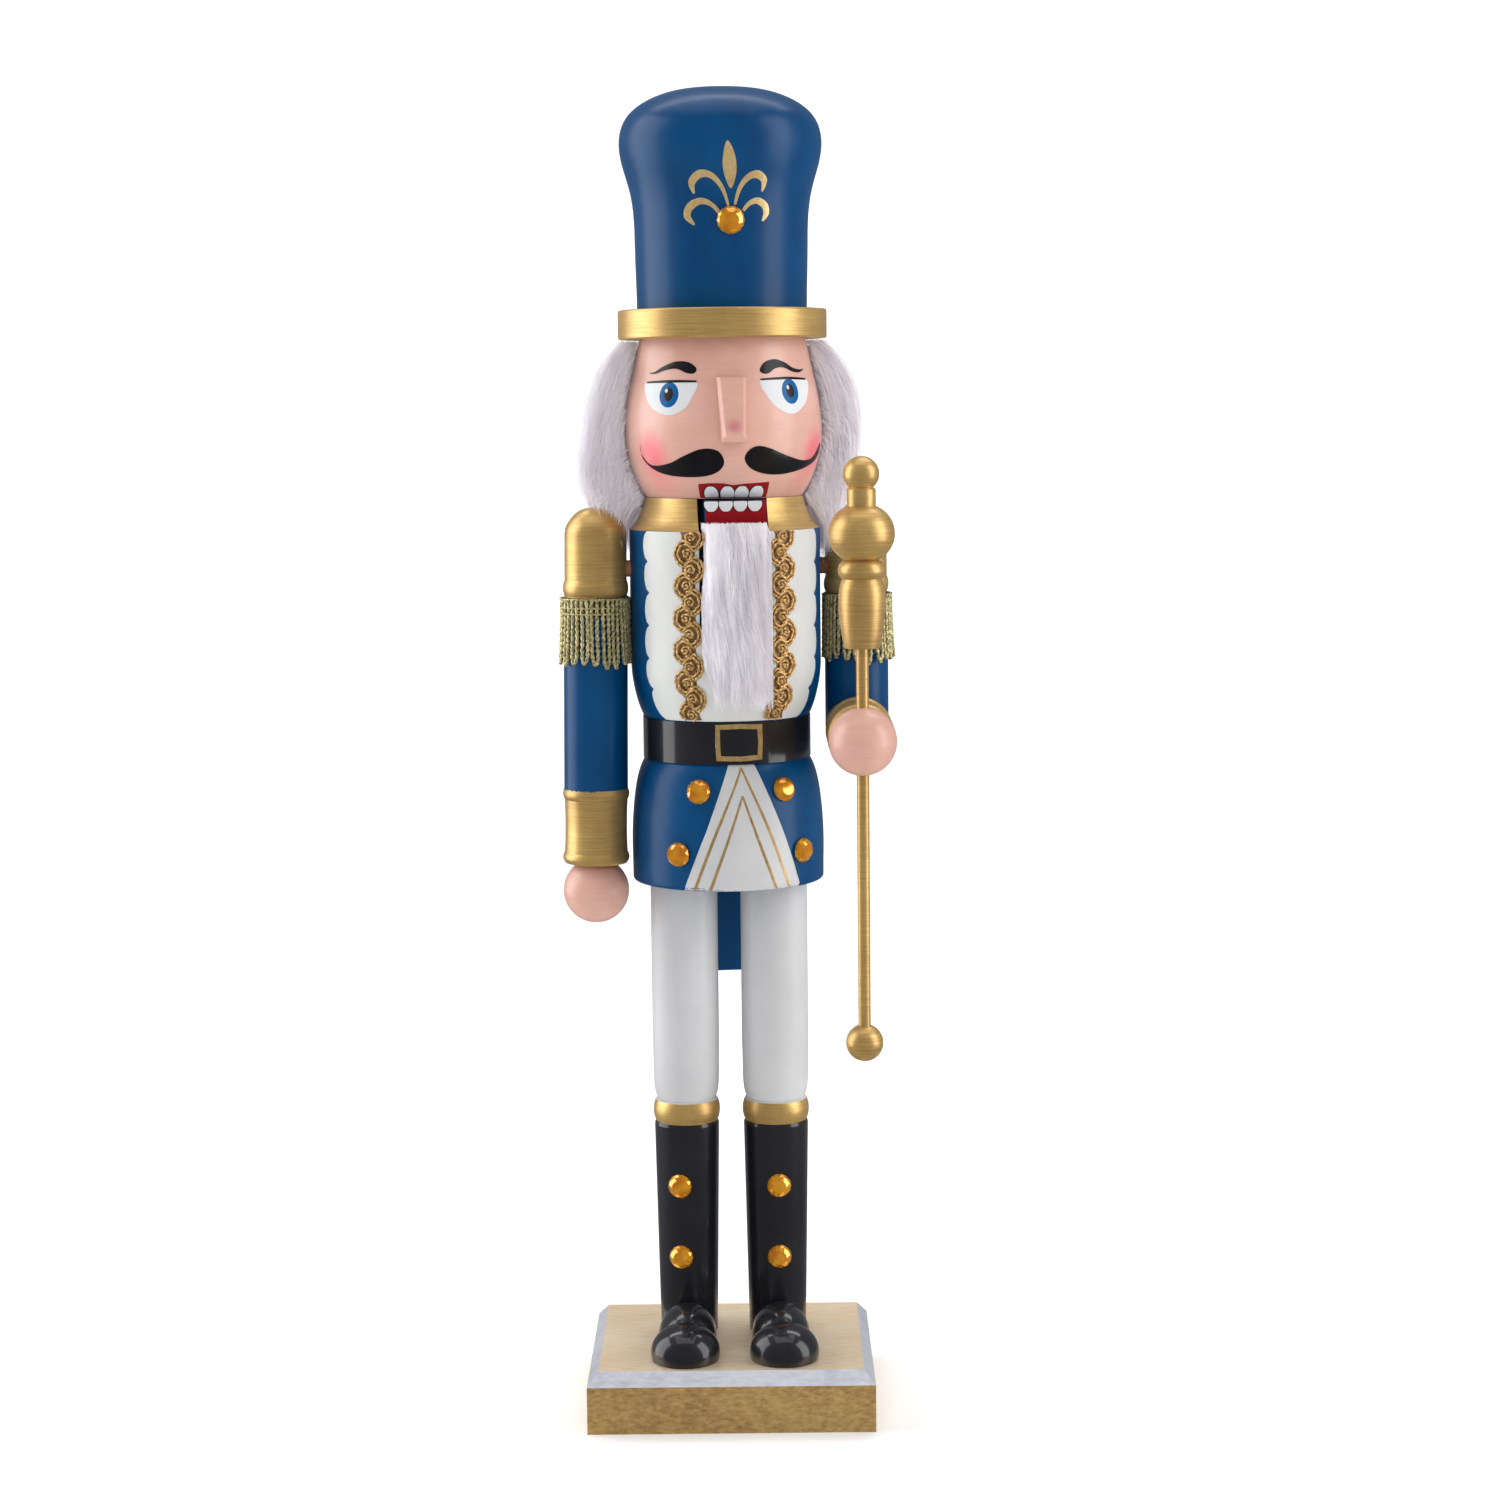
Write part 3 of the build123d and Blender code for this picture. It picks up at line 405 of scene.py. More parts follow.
def paint(name, surface, loops, material, body="figure", lift_mm=0.06, spacing=0.9):
    """A thin skin of paint: a loop, with any further loops as holes, laid on a surface."""
    rim_sink_mm = 0.025  # the paint thins out at its edge
    loops = [closely([(float(x), float(y)) for x, y in loop]) for loop in loops]
    points, edges = [], []
    for loop in loops:
        first = len(points)
        points += [Vector(point) for point in loop]
        edges += [(first + i, first + (i + 1) % len(loop)) for i in range(len(loop))]
    rim = len(points)
    xs, ys = zip(*loops[0])
    for x in np.arange(min(xs) + spacing / 2, max(xs), spacing):
        for y in np.arange(min(ys) + spacing / 2, max(ys), spacing):
            if sum(inside((x, y), loop) for loop in loops) == 1:
                points.append(Vector((x, y)))
    flat, _, triangles, origins, _, _ = delaunay_2d_cdt(points, edges, [], 0, 1e-4)
    kept = []
    for triangle in triangles:
        middle = sum((flat[i] for i in triangle), Vector((0.0, 0.0))) / 3
        if sum(inside(middle, loop) for loop in loops) == 1:
            a, b, c = (flat[i] for i in triangle)
            turn = (b - a).cross(c - a)
            kept.append(triangle if turn > 0 else triangle[::-1])
    vertices = []
    for point, origin in zip(flat, origins):
        place, normal = surface(point.x, point.y)
        at_rim = any(index < rim for index in origin)
        vertices.append(place + normal * MM * (lift_mm - rim_sink_mm if at_rim else lift_mm))
    return new_object(name, vertices, kept, material, body)


def zones(node, materials, choose):
    """Give each face of a CAD node the material that choose(centre in mm, normal) picks."""
    mesh = nodes[node].data
    mesh.materials.clear()
    for material in materials:
        mesh.materials.append(material)
    for face in mesh.polygons:
        face.material_index = choose(face.center / MM, face.normal)


def coat(material, *names):
    for name in names:
        zones(name, [material], lambda centre, normal: 0)


def bands(*edges):
    """A zone chooser by height: 0 below the first edge, 1 below the second, and so on."""
    return lambda centre, normal: sum(centre.z > edge for edge in edges)


# ----- Paint on the CAD pieces -----

BLUE = lacquer("blue_lacquer", (0.0, 0.040, 0.130), (0.0, 0.066, 0.190), coat=0.14, coat_roughness=0.22)
# The slot's walls get a navy darker than the coat: painted shade inside the recess.
SLOT_SHADE = lacquer("slot_shade_paint", (0.004, 0.012, 0.030), (0.014, 0.034, 0.075), roughness=(0.3, 0.5), coat=0.5)
BLACK = lacquer("black_lacquer", (0.006, 0.006, 0.008), (0.014, 0.014, 0.018), coat=0.7, coat_roughness=0.11)
WHITE = lacquer("white_lacquer", (0.52, 0.52, 0.525), (0.60, 0.60, 0.605), coat_roughness=0.16, grain=0.06)
CREAM = lacquer("plastron_white", (0.60, 0.61, 0.60), (0.70, 0.71, 0.685), coat_roughness=0.16, grain=0.07)
RED = lacquer("red_lacquer", (0.22, 0.001, 0.004), (0.40, 0.006, 0.014), grain=0.1)
TOOTH = lacquer("tooth_white", (0.66, 0.67, 0.68), (0.76, 0.77, 0.77), coat=0.15, grain=0.03)
INK = lacquer("black_paint", (0.004, 0.004, 0.005), (0.012, 0.011, 0.012), coat=0.2, coat_roughness=0.12)
EYE_BLUE = lacquer("eye_blue", (0.0, 0.085, 0.26), (0.0, 0.13, 0.36), coat=0.12)
PUPIL = lacquer("pupil_brown", (0.012, 0.008, 0.007), (0.030, 0.020, 0.016), coat=0.1)
GOLD = gold_paint("gold_paint", (0.42, 0.25, 0.07), (0.74, 0.49, 0.17))
GOLD_LINE = gold_paint("gold_line", (0.34, 0.21, 0.07), (0.56, 0.38, 0.15), stretch=EVEN, metallic=0.4)
MOTIF_GOLD = gold_paint("motif_gold", (0.50, 0.33, 0.12), (0.70, 0.50, 0.23), stretch=EVEN, metallic=0.35)
BASE_TOP = gold_paint(
    "base_top", (0.74, 0.56, 0.36), (0.96, 0.80, 0.57), stretch=(160.0, 1600.0, 300.0), metallic=0.45,
    roughness=(0.36, 0.5), specks=0.74,
)
BASE_SIDE = gold_paint(
    "base_side", (0.40, 0.225, 0.06), (0.78, 0.51, 0.20), stretch=(420.0, 420.0, 900.0), metallic=0.55,
    roughness=(0.4, 0.55), specks=0.76,
)
SILVER = gold_paint(
    "base_bevel", (0.50, 0.51, 0.57), (0.76, 0.77, 0.83), stretch=(220.0, 900.0, 400.0), metallic=0.4,
    roughness=(0.25, 0.4), specks=0.8,
)
WOOD = lacquer("bare_dowel", (0.16, 0.07, 0.035), (0.36, 0.19, 0.10), (0.5, 0.7), coat=0.0, grain=0.4)
STEEL = gold_paint("steel", (0.42, 0.42, 0.43), (0.62, 0.62, 0.63), stretch=EVEN, metallic=1.0, specks=0.9)
SKIN = skin_material()


def torso_zone(centre, normal):
    """The slot's inside gets a navy darker than the coat, as painted shade in the recess; outside it, skirt,
    belt, chest and collar follow each other upwards.
    """
    from_axis = math.hypot(centre.x - AXIS.x / MM, centre.y - AXIS.y / MM)
    if from_axis < SLOT_INSIDE_MM and centre.z > SLOT_FLOOR_MM - 1:
        return 4
    return bands(*BELT_MM, COLLAR_MM)(centre, normal)


def base_zone(centre, normal):
    """0 for the walls, 1 for the bevel and 2 for the level faces."""
    if centre.z < BASE_WALL_MM and abs(normal.z) < 0.5:
        return 0
    return 2 if abs(normal.z) > 0.95 else 1


zones("torso", [BLUE, BLACK, BLUE, GOLD, SLOT_SHADE], torso_zone)
zones("base_block", [BASE_SIDE, SILVER, BASE_TOP], base_zone)
for side in ("right", "left"):
    zones(f"{side}_leg", [BLACK, GOLD, WHITE], bands(GARTER_MM[0] - 0.2, GARTER_MM[1] + 0.1))
    coat(BLACK, f"{side}_foot")
    coat(SKIN, f"{side}_hand")
    coat(WOOD, *[f"{side}_{place}_dowel" for place in ("ankle", "hip", "neck", "shoulder", "wrist")])
zones("right_arm", [GOLD, BLUE, GOLD], bands(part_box("right_arm")[0].z / MM + CUFF_LENGTH_MM, SLEEVE_TOP_MM))
zones("left_upper_arm", [BLUE, GOLD], bands(SLEEVE_TOP_MM))
cuff_start_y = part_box("left_forearm")[0].y / MM + CUFF_LENGTH_MM
zones("left_forearm", [BLUE, GOLD], lambda centre, normal: int(centre.y < cuff_start_y))
coat(SKIN, "head", "nose")
coat(BLUE, "hat_crown", "jaw_lever")
coat(GOLD, "hat_brim", "staff_rod", "staff_mace", "staff_ball")
coat(WOOD, "hat_dowel", "left_elbow_dowel")
coat(STEEL, "jaw_pin")

# Marks on the face's right and left (the figure's own), as (across from the nose, height)
RIGHT_MARKS = {
    "white": [
        (-28.4, 297.1), (-27.4, 293.1), (-23.6, 289.6), (-17.8, 288.0), (-13.2, 289.6), (-10.8, 292.9),
        (-9.7, 297.0), (-18.5, 297.3),
    ],
    "lid": [(-28.0, 297.15), (-18.0, 297.35), (-9.6, 297.25)],
    "iris": (-18.4, 293.75),
    "brow": [
        (-27.9, 299.8), (-25.2, 300.1), (-22.0, 301.5), (-17.2, 302.85), (-12.6, 302.6), (-9.9, 300.9),
        (-10.6, 299.5), (-13.0, 299.6), (-16.6, 300.8), (-20.6, 300.5), (-24.8, 299.5),
    ],
    "moustache": [
        (-29.7, 279.6), (-29.9, 277.4), (-27.6, 274.8), (-24.4, 273.9), (-18.6, 274.6), (-13.6, 276.6),
        (-9.0, 278.3), (-5.6, 278.6), (-2.9, 277.6), (-1.6, 275.1), (-2.6, 272.8), (-5.6, 271.3),
        (-10.0, 270.7), (-16.0, 270.8), (-21.8, 271.6), (-26.6, 273.4), (-29.7, 276.2),
    ],
}
LEFT_MARKS = {
    "white": [
        (9.9, 297.5), (11.6, 292.9), (15.0, 289.5), (19.8, 288.0), (24.4, 289.7), (28.0, 292.8),
        (29.6, 297.5), (19.0, 297.9),
    ],
    "lid": [(9.8, 297.6), (19.0, 297.95), (28.7, 297.7)],
    "iris": (20.1, 294.4),
    "brow": [
        (10.0, 300.5), (12.0, 302.5), (15.8, 303.25), (19.6, 302.4), (23.0, 300.9), (26.4, 300.4),
        (29.1, 300.6), (26.0, 299.6), (22.4, 299.8), (18.8, 300.9), (15.6, 300.7), (12.8, 299.3),
        (10.6, 299.4),
    ],
    "moustache": [
        (4.4, 275.6), (5.6, 278.1), (8.4, 279.2), (12.4, 278.4), (17.8, 276.5), (25.4, 274.9),
        (31.6, 275.8), (36.4, 279.6), (37.4, 278.2), (35.2, 275.2), (29.0, 273.1), (22.0, 271.7),
        (16.0, 271.1), (10.6, 271.5), (6.4, 273.0),
    ],
}
IRIS_HALF = (3.35, 3.5)
PUPIL_HALF = (1.6, 1.9)

for side, marks in (("right", RIGHT_MARKS), ("left", LEFT_MARKS)):
    eye_x, eye_z = marks["iris"]
    eye = smooth_line(marks["white"], closed=True)
    paint(f"{side}_eye_white", on_head, [eye], TOOTH)
    for part, outline, material, lift, spacing in (
        ("eyelid", stroke(marks["lid"], (0.45, 0.75, 0.5)), INK, 0.17, 0.5),
        ("iris", ellipse((eye_x, eye_z - 0.15), *IRIS_HALF), EYE_BLUE, 0.09, 0.9),
        ("pupil", ellipse((eye_x - 0.1, eye_z), *PUPIL_HALF), PUPIL, 0.12, 0.6),
        ("glint", ellipse((eye_x - 0.9, eye_z + 1.0), 0.5, 0.6, 16), TOOTH, 0.15, 0.4),
        ("brow", smooth_line(marks["brow"], closed=True), INK, 0.09, 0.9),
        ("moustache", smooth_line(marks["moustache"], closed=True), INK, 0.10, 0.9),
    ):
        paint(f"{side}_{part}", on_head, [outline], material, lift_mm=lift, spacing=spacing)

# Mouth: the upper half is on the head, the lower half on the jaw
UPPER_LIP = [
    (-10.1, 268.7), (-6.5, 268.95), (-2.0, 268.9), (1.2, 268.35), (5.0, 268.7), (10.0, 268.9),
    (13.4, 269.1), (13.9, 264.7), (-10.3, 264.7),
]
JAW_RED = [(-8.0, 257.4), (9.2, 257.4), (9.2, 264.05), (-8.0, 264.05)]
# Teeth as (middle, width)
UPPER_TEETH = [(-6.1, 4.8), (-0.6, 4.8), (4.3, 4.9), (9.6, 5.1)]
LOWER_TEETH = [(-6.35, 4.1), (-2.2, 4.0), (1.9, 4.0), (6.0, 4.1)]


def tooth(middle, width, root, tip, corner=0.85):
    """A tooth with a round root and a nearly square biting edge."""
    half = width / 2 - 0.12
    rise = math.copysign(corner, root - tip)
    return smooth_line([
        (middle - half, tip + 0.2 * rise), (middle - 0.6 * half, tip), (middle + 0.6 * half, tip),
        (middle + half, tip + 0.2 * rise), (middle + 0.97 * half, root - 1.6 * rise),
        (middle + 0.5 * half, root - 0.2 * rise), (middle, root), (middle - 0.5 * half, root - 0.2 * rise),
        (middle - 0.97 * half, root - 1.6 * rise),
    ], 5, closed=True)


paint("upper_lip", on_head, [UPPER_LIP], RED, lift_mm=0.05)
paint("jaw_red", on_jaw, [JAW_RED], RED, "lever", 0.05)
for row, surface, body, teeth, ends, gap_ends in (
    ("upper", on_head, "figure", UPPER_TEETH, (268.0, 264.95), (268.25, 264.75)),
    ("lower", on_jaw, "lever", LOWER_TEETH, (261.0, 263.85), (260.75, 264.0)),
):
    for number, (middle, width) in enumerate(teeth, 1):
        paint(f"{row}_gap_{number}", surface, [tooth(middle, width + 0.5, *gap_ends)], INK, body, 0.07)
        paint(f"{row}_tooth_{number}", surface, [tooth(middle, width, *ends)], TOOTH, body, 0.11)

# Plastron: a scalloped white front that stops at the slot
SCALLOP_DEPTH = 2.1


def scalloped_edge(cusps, outward, steps=9):
    """Round scallops between cusps, each bulging outwards."""
    edge = []
    for (x1, z1), (x2, z2) in zip(cusps, cusps[1:]):
        for k in range(steps):
            t = k / steps
            bulge = outward * SCALLOP_DEPTH * math.sqrt(max(0.0, math.sin(math.pi * t)))
            edge.append((x1 + (x2 - x1) * t + bulge, z1 + (z2 - z1) * t))
    return edge + [cusps[-1]]


PLASTRON_TOP = 255.35
RIGHT_EDGE_CUSPS = [
    (-28.9, PLASTRON_TOP), (-28.7, 246.8), (-28.1, 237.9), (-28.4, 228.6), (-28.5, 219.3), (-27.6, 210.5),
    (-25.3, 201.6),
]
LEFT_EDGE_CUSPS = [
    (29.0, PLASTRON_TOP), (28.8, 245.9), (28.6, 236.9), (28.4, 227.8), (28.3, 218.7), (25.9, 209.9),
    (23.6, 201.6),
]
slot_middle = math.radians(SLOT_MIDDLE - CHEST_TURN) * CHEST_RADIUS_MM
slot_reach = math.asin(SLOT_HALF_WIDTH_MM / CHEST_RADIUS_MM) * CHEST_RADIUS_MM + 0.1
slot_left, slot_right = slot_middle - slot_reach, slot_middle + slot_reach
slot_outline = [
    (slot_right, PLASTRON_TOP), (slot_right, SLOT_FLOOR_MM - 0.1), (slot_left, SLOT_FLOOR_MM - 0.1),
    (slot_left, PLASTRON_TOP),
]
plastron = scalloped_edge(RIGHT_EDGE_CUSPS, -1) + scalloped_edge(LEFT_EDGE_CUSPS, 1)[::-1] + slot_outline
paint("plastron", on_chest, [plastron], CREAM)

# Belt buckle, apron and its gold lines, as (across from the skirt's middle, height)
BUCKLE_OUTER = [
    (-7.2, 200.7), (-0.2, 200.9), (6.4, 200.6), (6.5, 196.0), (6.3, 190.5), (0.0, 190.2), (-7.0, 190.4),
    (-7.3, 195.4),
]
BUCKLE_INNER = [
    (-5.9, 199.3), (-0.2, 199.5), (4.9, 199.2), (5.1, 195.8), (4.9, 191.9), (0.0, 191.6), (-5.7, 191.8),
    (-5.9, 195.6),
]
APRON = [(-4.2, 189.2), (4.5, 189.2), (11.9, 171.0), (18.7, 153.5), (-17.8, 153.5), (-10.6, 171.0)]
OUTER_LINE = ([(-14.4, 153.6), (-7.5, 171.0), (-0.1, 188.4)], [(-0.1, 188.4), (7.0, 172.0), (14.2, 153.6)])
INNER_LINE = ([(-9.8, 153.6), (-5.2, 166.0), (-0.1, 180.6)], [(-0.1, 180.6), (4.6, 167.0), (9.8, 153.6)])
BELT_RADIUS_MM = 24.35
on_belt = round_surface("torso", SKIRT_TURN, BELT_RADIUS_MM)
paint("buckle", on_belt, [BUCKLE_OUTER, BUCKLE_INNER[::-1]], GOLD_LINE, lift_mm=0.1)
paint("apron", on_skirt, [APRON], WHITE)
for name, line in (("outer", OUTER_LINE), ("inner", INNER_LINE)):
    for number, half in enumerate(line, 1):
        widths = (0.95, 0.85, 0.6) if number == 1 else (0.6, 0.85, 0.95)
        outline = stroke(half, widths, 6)
        paint(f"apron_{name}_line_{number}", on_skirt, [outline], GOLD_LINE, lift_mm=0.1)

# Hat motif, as (across from the gem, height)
MOTIF_LEAF = [(-1.3, 363.0), (-2.4, 358.8), (-2.2, 354.4), (-0.3, 350.2), (1.1, 354.2), (0.6, 359.2)]
MOTIF_CURLS = (
    ([(-0.9, 345.4), (-2.6, 350.2), (-5.4, 353.6), (-8.6, 354.2), (-11.0, 351.9), (-10.6, 348.9)],
     (0.6, 1.1, 1.6, 2.2, 2.1, 0.5)),
    ([(0.9, 345.8), (2.2, 350.2), (4.4, 353.2), (7.0, 354.0), (9.1, 352.4), (8.8, 349.4)],
     (0.7, 1.2, 1.7, 2.2, 1.9, 0.5)),
    ([(-3.2, 343.2), (-5.6, 345.8), (-8.8, 346.9), (-12.0, 345.4), (-12.9, 342.9), (-10.8, 340.4)],
     (1.0, 1.2, 1.8, 2.3, 2.2, 0.5)),
    ([(3.3, 344.2), (5.2, 346.2), (7.6, 346.9), (9.9, 345.6), (10.4, 343.6), (9.2, 341.4)],
     (0.9, 1.3, 1.8, 2.1, 1.9, 0.5)),
)
paint("motif_leaf", on_hat, [smooth_line(MOTIF_LEAF, closed=True)], MOTIF_GOLD)
for number, (line, widths) in enumerate(MOTIF_CURLS, 1):
    paint(f"motif_curl_{number}", on_hat, [stroke(line, widths)], MOTIF_GOLD, spacing=0.6)


# ----- Threads: gimp braid and bullion fringe -----

def rope(paths, radius_mm, sides=6, twist_pitch_mm=1.1, lobes=2, depth=0.3):
    """Vertices and faces of twisted cords along paths (in metres), round but for their lobes."""
    vertices, faces = [], []
    for path in paths:
        path = np.asarray(path, float)
        ahead = np.gradient(path, axis=0)
        ahead /= np.linalg.norm(ahead, axis=1, keepdims=True) + 1e-12
        reference = np.array((0.31, -0.82, 0.48))
        first = np.cross(ahead, reference)
        first /= np.linalg.norm(first, axis=1, keepdims=True) + 1e-12
        second = np.cross(ahead, first)
        run = np.concatenate(([0.0], np.cumsum(np.linalg.norm(np.diff(path, axis=0), axis=1))))
        turn = 2 * math.pi * run / (twist_pitch_mm * MM)
        start = len(vertices)
        for i in range(len(path)):
            for k in range(sides):
                angle = 2 * math.pi * k / sides
                radius = radius_mm * MM * (1 + depth * math.cos(lobes * angle - turn[i]))
                vertices.append(path[i] + radius * (math.cos(angle) * first[i] + math.sin(angle) * second[i]))
        faces += grid_faces(len(path), sides, start, wrap=True)
    return vertices, faces


BRAID_TOP_MM = 253.8
BRAID_BOTTOM_MM = 202.0
BRAID_MIDDLES = {"right": -21.3, "left": 35.6}  # degrees from the front
BRAID_PERIOD_MM = 9.1
BRAID_EYE_MM = 0.6  # the eyes stand this far each side of the middle
BRAID_RINGS_MM = (2.7, 3.7)  # the strands that swing round the eyes
BRAID_RING_SPAN = math.radians(78.0)  # each strand goes this far either way round an eye
COIL_REACH_MM = 1.7
COIL_TURNS = 1.75
THREAD_RADIUS_MM = 0.36


def braid_strands(top, bottom):
    """Flat (across, height) lines of a scroll gimp: coiled eyes, and strands that swing round them."""
    half_period = BRAID_PERIOD_MM / 2
    swings = [[] for _ in BRAID_RINGS_MM]
    coils = []
    side, height = 1, top
    while height > bottom:
        for line, radius in zip(swings, BRAID_RINGS_MM):
            for angle in np.linspace(BRAID_RING_SPAN, -BRAID_RING_SPAN, 12):
                line.append((
                    side * (BRAID_EYE_MM + radius * math.cos(angle)), height + radius * math.sin(angle),
                ))
        turns = np.linspace(0.6, 2 * math.pi * COIL_TURNS, int(15 * COIL_TURNS))
        reach = COIL_REACH_MM * turns / turns[-1]
        coils.append([
            (side * (BRAID_EYE_MM + r * math.cos(turn)), height + r * math.sin(turn))
            for r, turn in zip(reach, turns)
        ])
        side, height = -side, height - half_period
    strands = swings + coils
    kept = [[point for point in line if bottom < point[1] < top + 2.0] for line in strands]
    return [line for line in kept if len(line) > 8]


def braid_shade_sheet(middle, top, bottom):
    """The braid's wavy outline, a little inside its outermost strands."""
    edges = {-1: [], 1: []}
    for height in np.linspace(bottom, top + 1.5, 90):
        for side in edges:
            phase = 2 * math.pi * (height - top) / BRAID_PERIOD_MM + (0 if side > 0 else math.pi)
            edges[side].append((middle + side * (2.95 + 1.0 * math.cos(phase)), height))
    return edges[-1] + edges[1][::-1]


def gimp_braid(side):
    """Twisted threads laid down the chest in the gimp's pattern, over a dark brown sheet that is painted
    shade in the gaps between the threads.
    """
    middle_across = math.radians(BRAID_MIDDLES[side] - CHEST_TURN) * CHEST_RADIUS_MM
    sway_phase = 1 if side == "left" else -1
    lines = []
    for number, strand in enumerate(braid_strands(BRAID_TOP_MM, BRAID_BOTTOM_MM)):
        path = []
        for step, (x, z) in enumerate(smooth_line(strand, 2)):
            wobble = 0.16 * math.sin(0.9 * step + 1.7 * number)
            sway = 0.35 * math.sin(0.11 * z + sway_phase)
            place, normal = on_chest(middle_across + x + sway, z + 0.1 * wobble)
            path.append(place + normal * MM * (0.52 + wobble))
        lines.append(path)
    vertices, faces = rope(lines, THREAD_RADIUS_MM, sides=8, twist_pitch_mm=1.6, depth=0.3)
    braid = new_object(f"{side}_gimp", vertices, faces, GIMP, "figure")
    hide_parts(f"{side}_braid")
    outline = braid_shade_sheet(middle_across, BRAID_TOP_MM, BRAID_BOTTOM_MM)
    # A dark brown sheet under the threads: painted shade in the gaps between them.
    paint(f"{side}_gimp_shade_sheet", on_chest, [outline], GIMP_SHADE_SHEET, lift_mm=0.12)


GIMP = thread("gimp_thread", (0.28, 0.13, 0.035), (0.92, 0.60, 0.25), 0.5, roughness=0.34)
# Near black: painted shade behind the fringe's cords and stitches.
FRINGE_SHADE_WEB = thread("fringe_shade_webbing", (0.02, 0.014, 0.008), (0.09, 0.07, 0.03), 0.2)
# Dark brown for the painted shade under the gimp's threads.
GIMP_SHADE_SHEET = thread("gimp_shade_sheet", (0.10, 0.05, 0.016), (0.30, 0.17, 0.06), 0.2)
FRINGE = thread("fringe_thread", (0.09, 0.075, 0.025), (0.80, 0.70, 0.35), 0.5, roughness=0.34)
gimp_braid("right")
gimp_braid("left")

FRINGE_TOP_MM = 236.2
FRINGE_BOTTOM_MM = 217.2
FRINGE_INNER_RADIUS_MM = 9.35  # the sleeve's radius with a little slack
WEBBING_DEPTH_MM = 5.4
WEBBING_SIDES = 60
FRINGE_CORDS = 20
CORD_RADIUS_MM = 0.52
STITCH_RADIUS_MM = 0.22
STITCH_ROWS_MM = (0.4, 2.9, 4.6)  # below the fringe's top


def bullion_fringe(side):
    """Looped twisted cords that hang round the sleeve from a heading of woven rows."""
    body = f"{side}_arm_body"
    shoulder = joints[f"{side}_shoulder"]["pos_m"]
    middle = np.array((shoulder[0], shoulder[1], 0.0))
    inward = math.atan2(AXIS.y - shoulder[1], AXIS.x - shoulder[0])

    def ring_point(angle, height, stand):
        """On the sleeve, held in where the torso is close."""
        towards = max(0.0, math.cos(angle - inward))
        radius = FRINGE_INNER_RADIUS_MM + stand * (1 - 0.85 * towards ** 2)
        return middle + MM * np.array((radius * math.cos(angle), radius * math.sin(angle), height))

    paths, stitches = [], []
    turns = np.linspace(0, 2 * math.pi, 8 * FRINGE_CORDS + 1)
    for below in STITCH_ROWS_MM:
        stitches.append([
            ring_point(turn, FRINGE_TOP_MM - below, 0.95 + 0.12 * math.cos(2 * FRINGE_CORDS * turn))
            for turn in turns
        ])
    for cord in range(FRINGE_CORDS):
        middle_turn = 2 * math.pi * cord / FRINGE_CORDS
        gap = math.pi / FRINGE_CORDS / 2
        drop = FRINGE_BOTTOM_MM + rng.normal(0, 0.5)
        flare = rng.uniform(0.4, 1.1)
        sway, bow = rng.normal(0, 0.03), rng.normal(0, 0.015)
        down = np.linspace(0, 1, 13)
        loop = [(-1, t) for t in down] + [(1, t) for t in down[::-1]]
        line = []
        for leg, t in loop:
            closing = 1 - max(0.0, (t - 0.86) / 0.14) ** 2 * 0.75
            line.append(ring_point(
                middle_turn + leg * gap * closing + sway * t * t + bow * math.sin(math.pi * t),
                FRINGE_TOP_MM - 0.4 + (drop - FRINGE_TOP_MM + 0.4) * t, 0.5 + flare * t ** 1.5,
            ))
        paths.append(np.array(smooth_line(line, 3)))
    turns = np.linspace(0, 2 * math.pi, WEBBING_SIDES + 1)[:-1]
    rims = []
    for height in (FRINGE_TOP_MM, FRINGE_TOP_MM - WEBBING_DEPTH_MM):
        rims += [ring_point(turn, height, 0.08) for turn in turns]
    web = grid_faces(2, WEBBING_SIDES, wrap=True)
    # The webbing ring is near black as painted shade in the gaps between cords and stitches.
    new_object(f"{side}_fringe_shade_webbing", rims, web, FRINGE_SHADE_WEB, body)
    vertices, faces = rope(stitches, STITCH_RADIUS_MM, twist_pitch_mm=1.0)
    new_object(f"{side}_fringe_stitches", vertices, faces, FRINGE, body)
    vertices, faces = rope(paths, CORD_RADIUS_MM, sides=8, twist_pitch_mm=1.8, depth=0.34)
    piece = new_object(f"{side}_bullion", vertices, faces, FRINGE, body)
    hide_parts(f"{side}_fringe")


bullion_fringe("right")
bullion_fringe("left")


# ----- Fur -----

def strands_mesh(name, paths, widths_mm, material, body):
    """Ribbons along many paths at once: paths is (strands, levels, 3) in metres."""
    count, levels, _ = paths.shape
    ahead = np.gradient(paths, axis=1)
    facing = rng.normal(size=(count, 1, 3)) + np.array((0.0, 0.0, 0.2))
    side = np.cross(ahead, facing)
    side /= np.linalg.norm(side, axis=2, keepdims=True) + 1e-12
    taper = np.linspace(1.0, 0.12, levels) ** 0.8
    half = 0.5 * MM * widths_mm[:, None, None] * taper[None, :, None]
    vertices = np.stack((paths - side * half, paths + side * half), axis=2).reshape(-1, 3)
    base = (np.arange(count)[:, None] * levels + np.arange(levels - 1)[None, :]).reshape(-1) * 2
    quads = np.stack((base, base + 1, base + 3, base + 2), axis=1)
    mesh = bpy.data.meshes.new(name)
    mesh.vertices.add(len(vertices))
    mesh.vertices.foreach_set("co", vertices.astype(np.float32).reshape(-1))
    mesh.loops.add(len(quads) * 4)
    mesh.loops.foreach_set("vertex_index", quads.astype(np.int32).reshape(-1))
    mesh.polygons.add(len(quads))
    mesh.polygons.foreach_set("loop_start", np.arange(0, len(quads) * 4, 4, dtype=np.int32))
    mesh.update(calc_edges=True)
    mesh.validate()
    mesh.materials.append(material)
    mesh.shade_smooth()
    return placed(name, mesh, body)


FUR = fur_material("fur_strands", (0.78, 0.74, 0.79), (0.95, 0.92, 0.95))
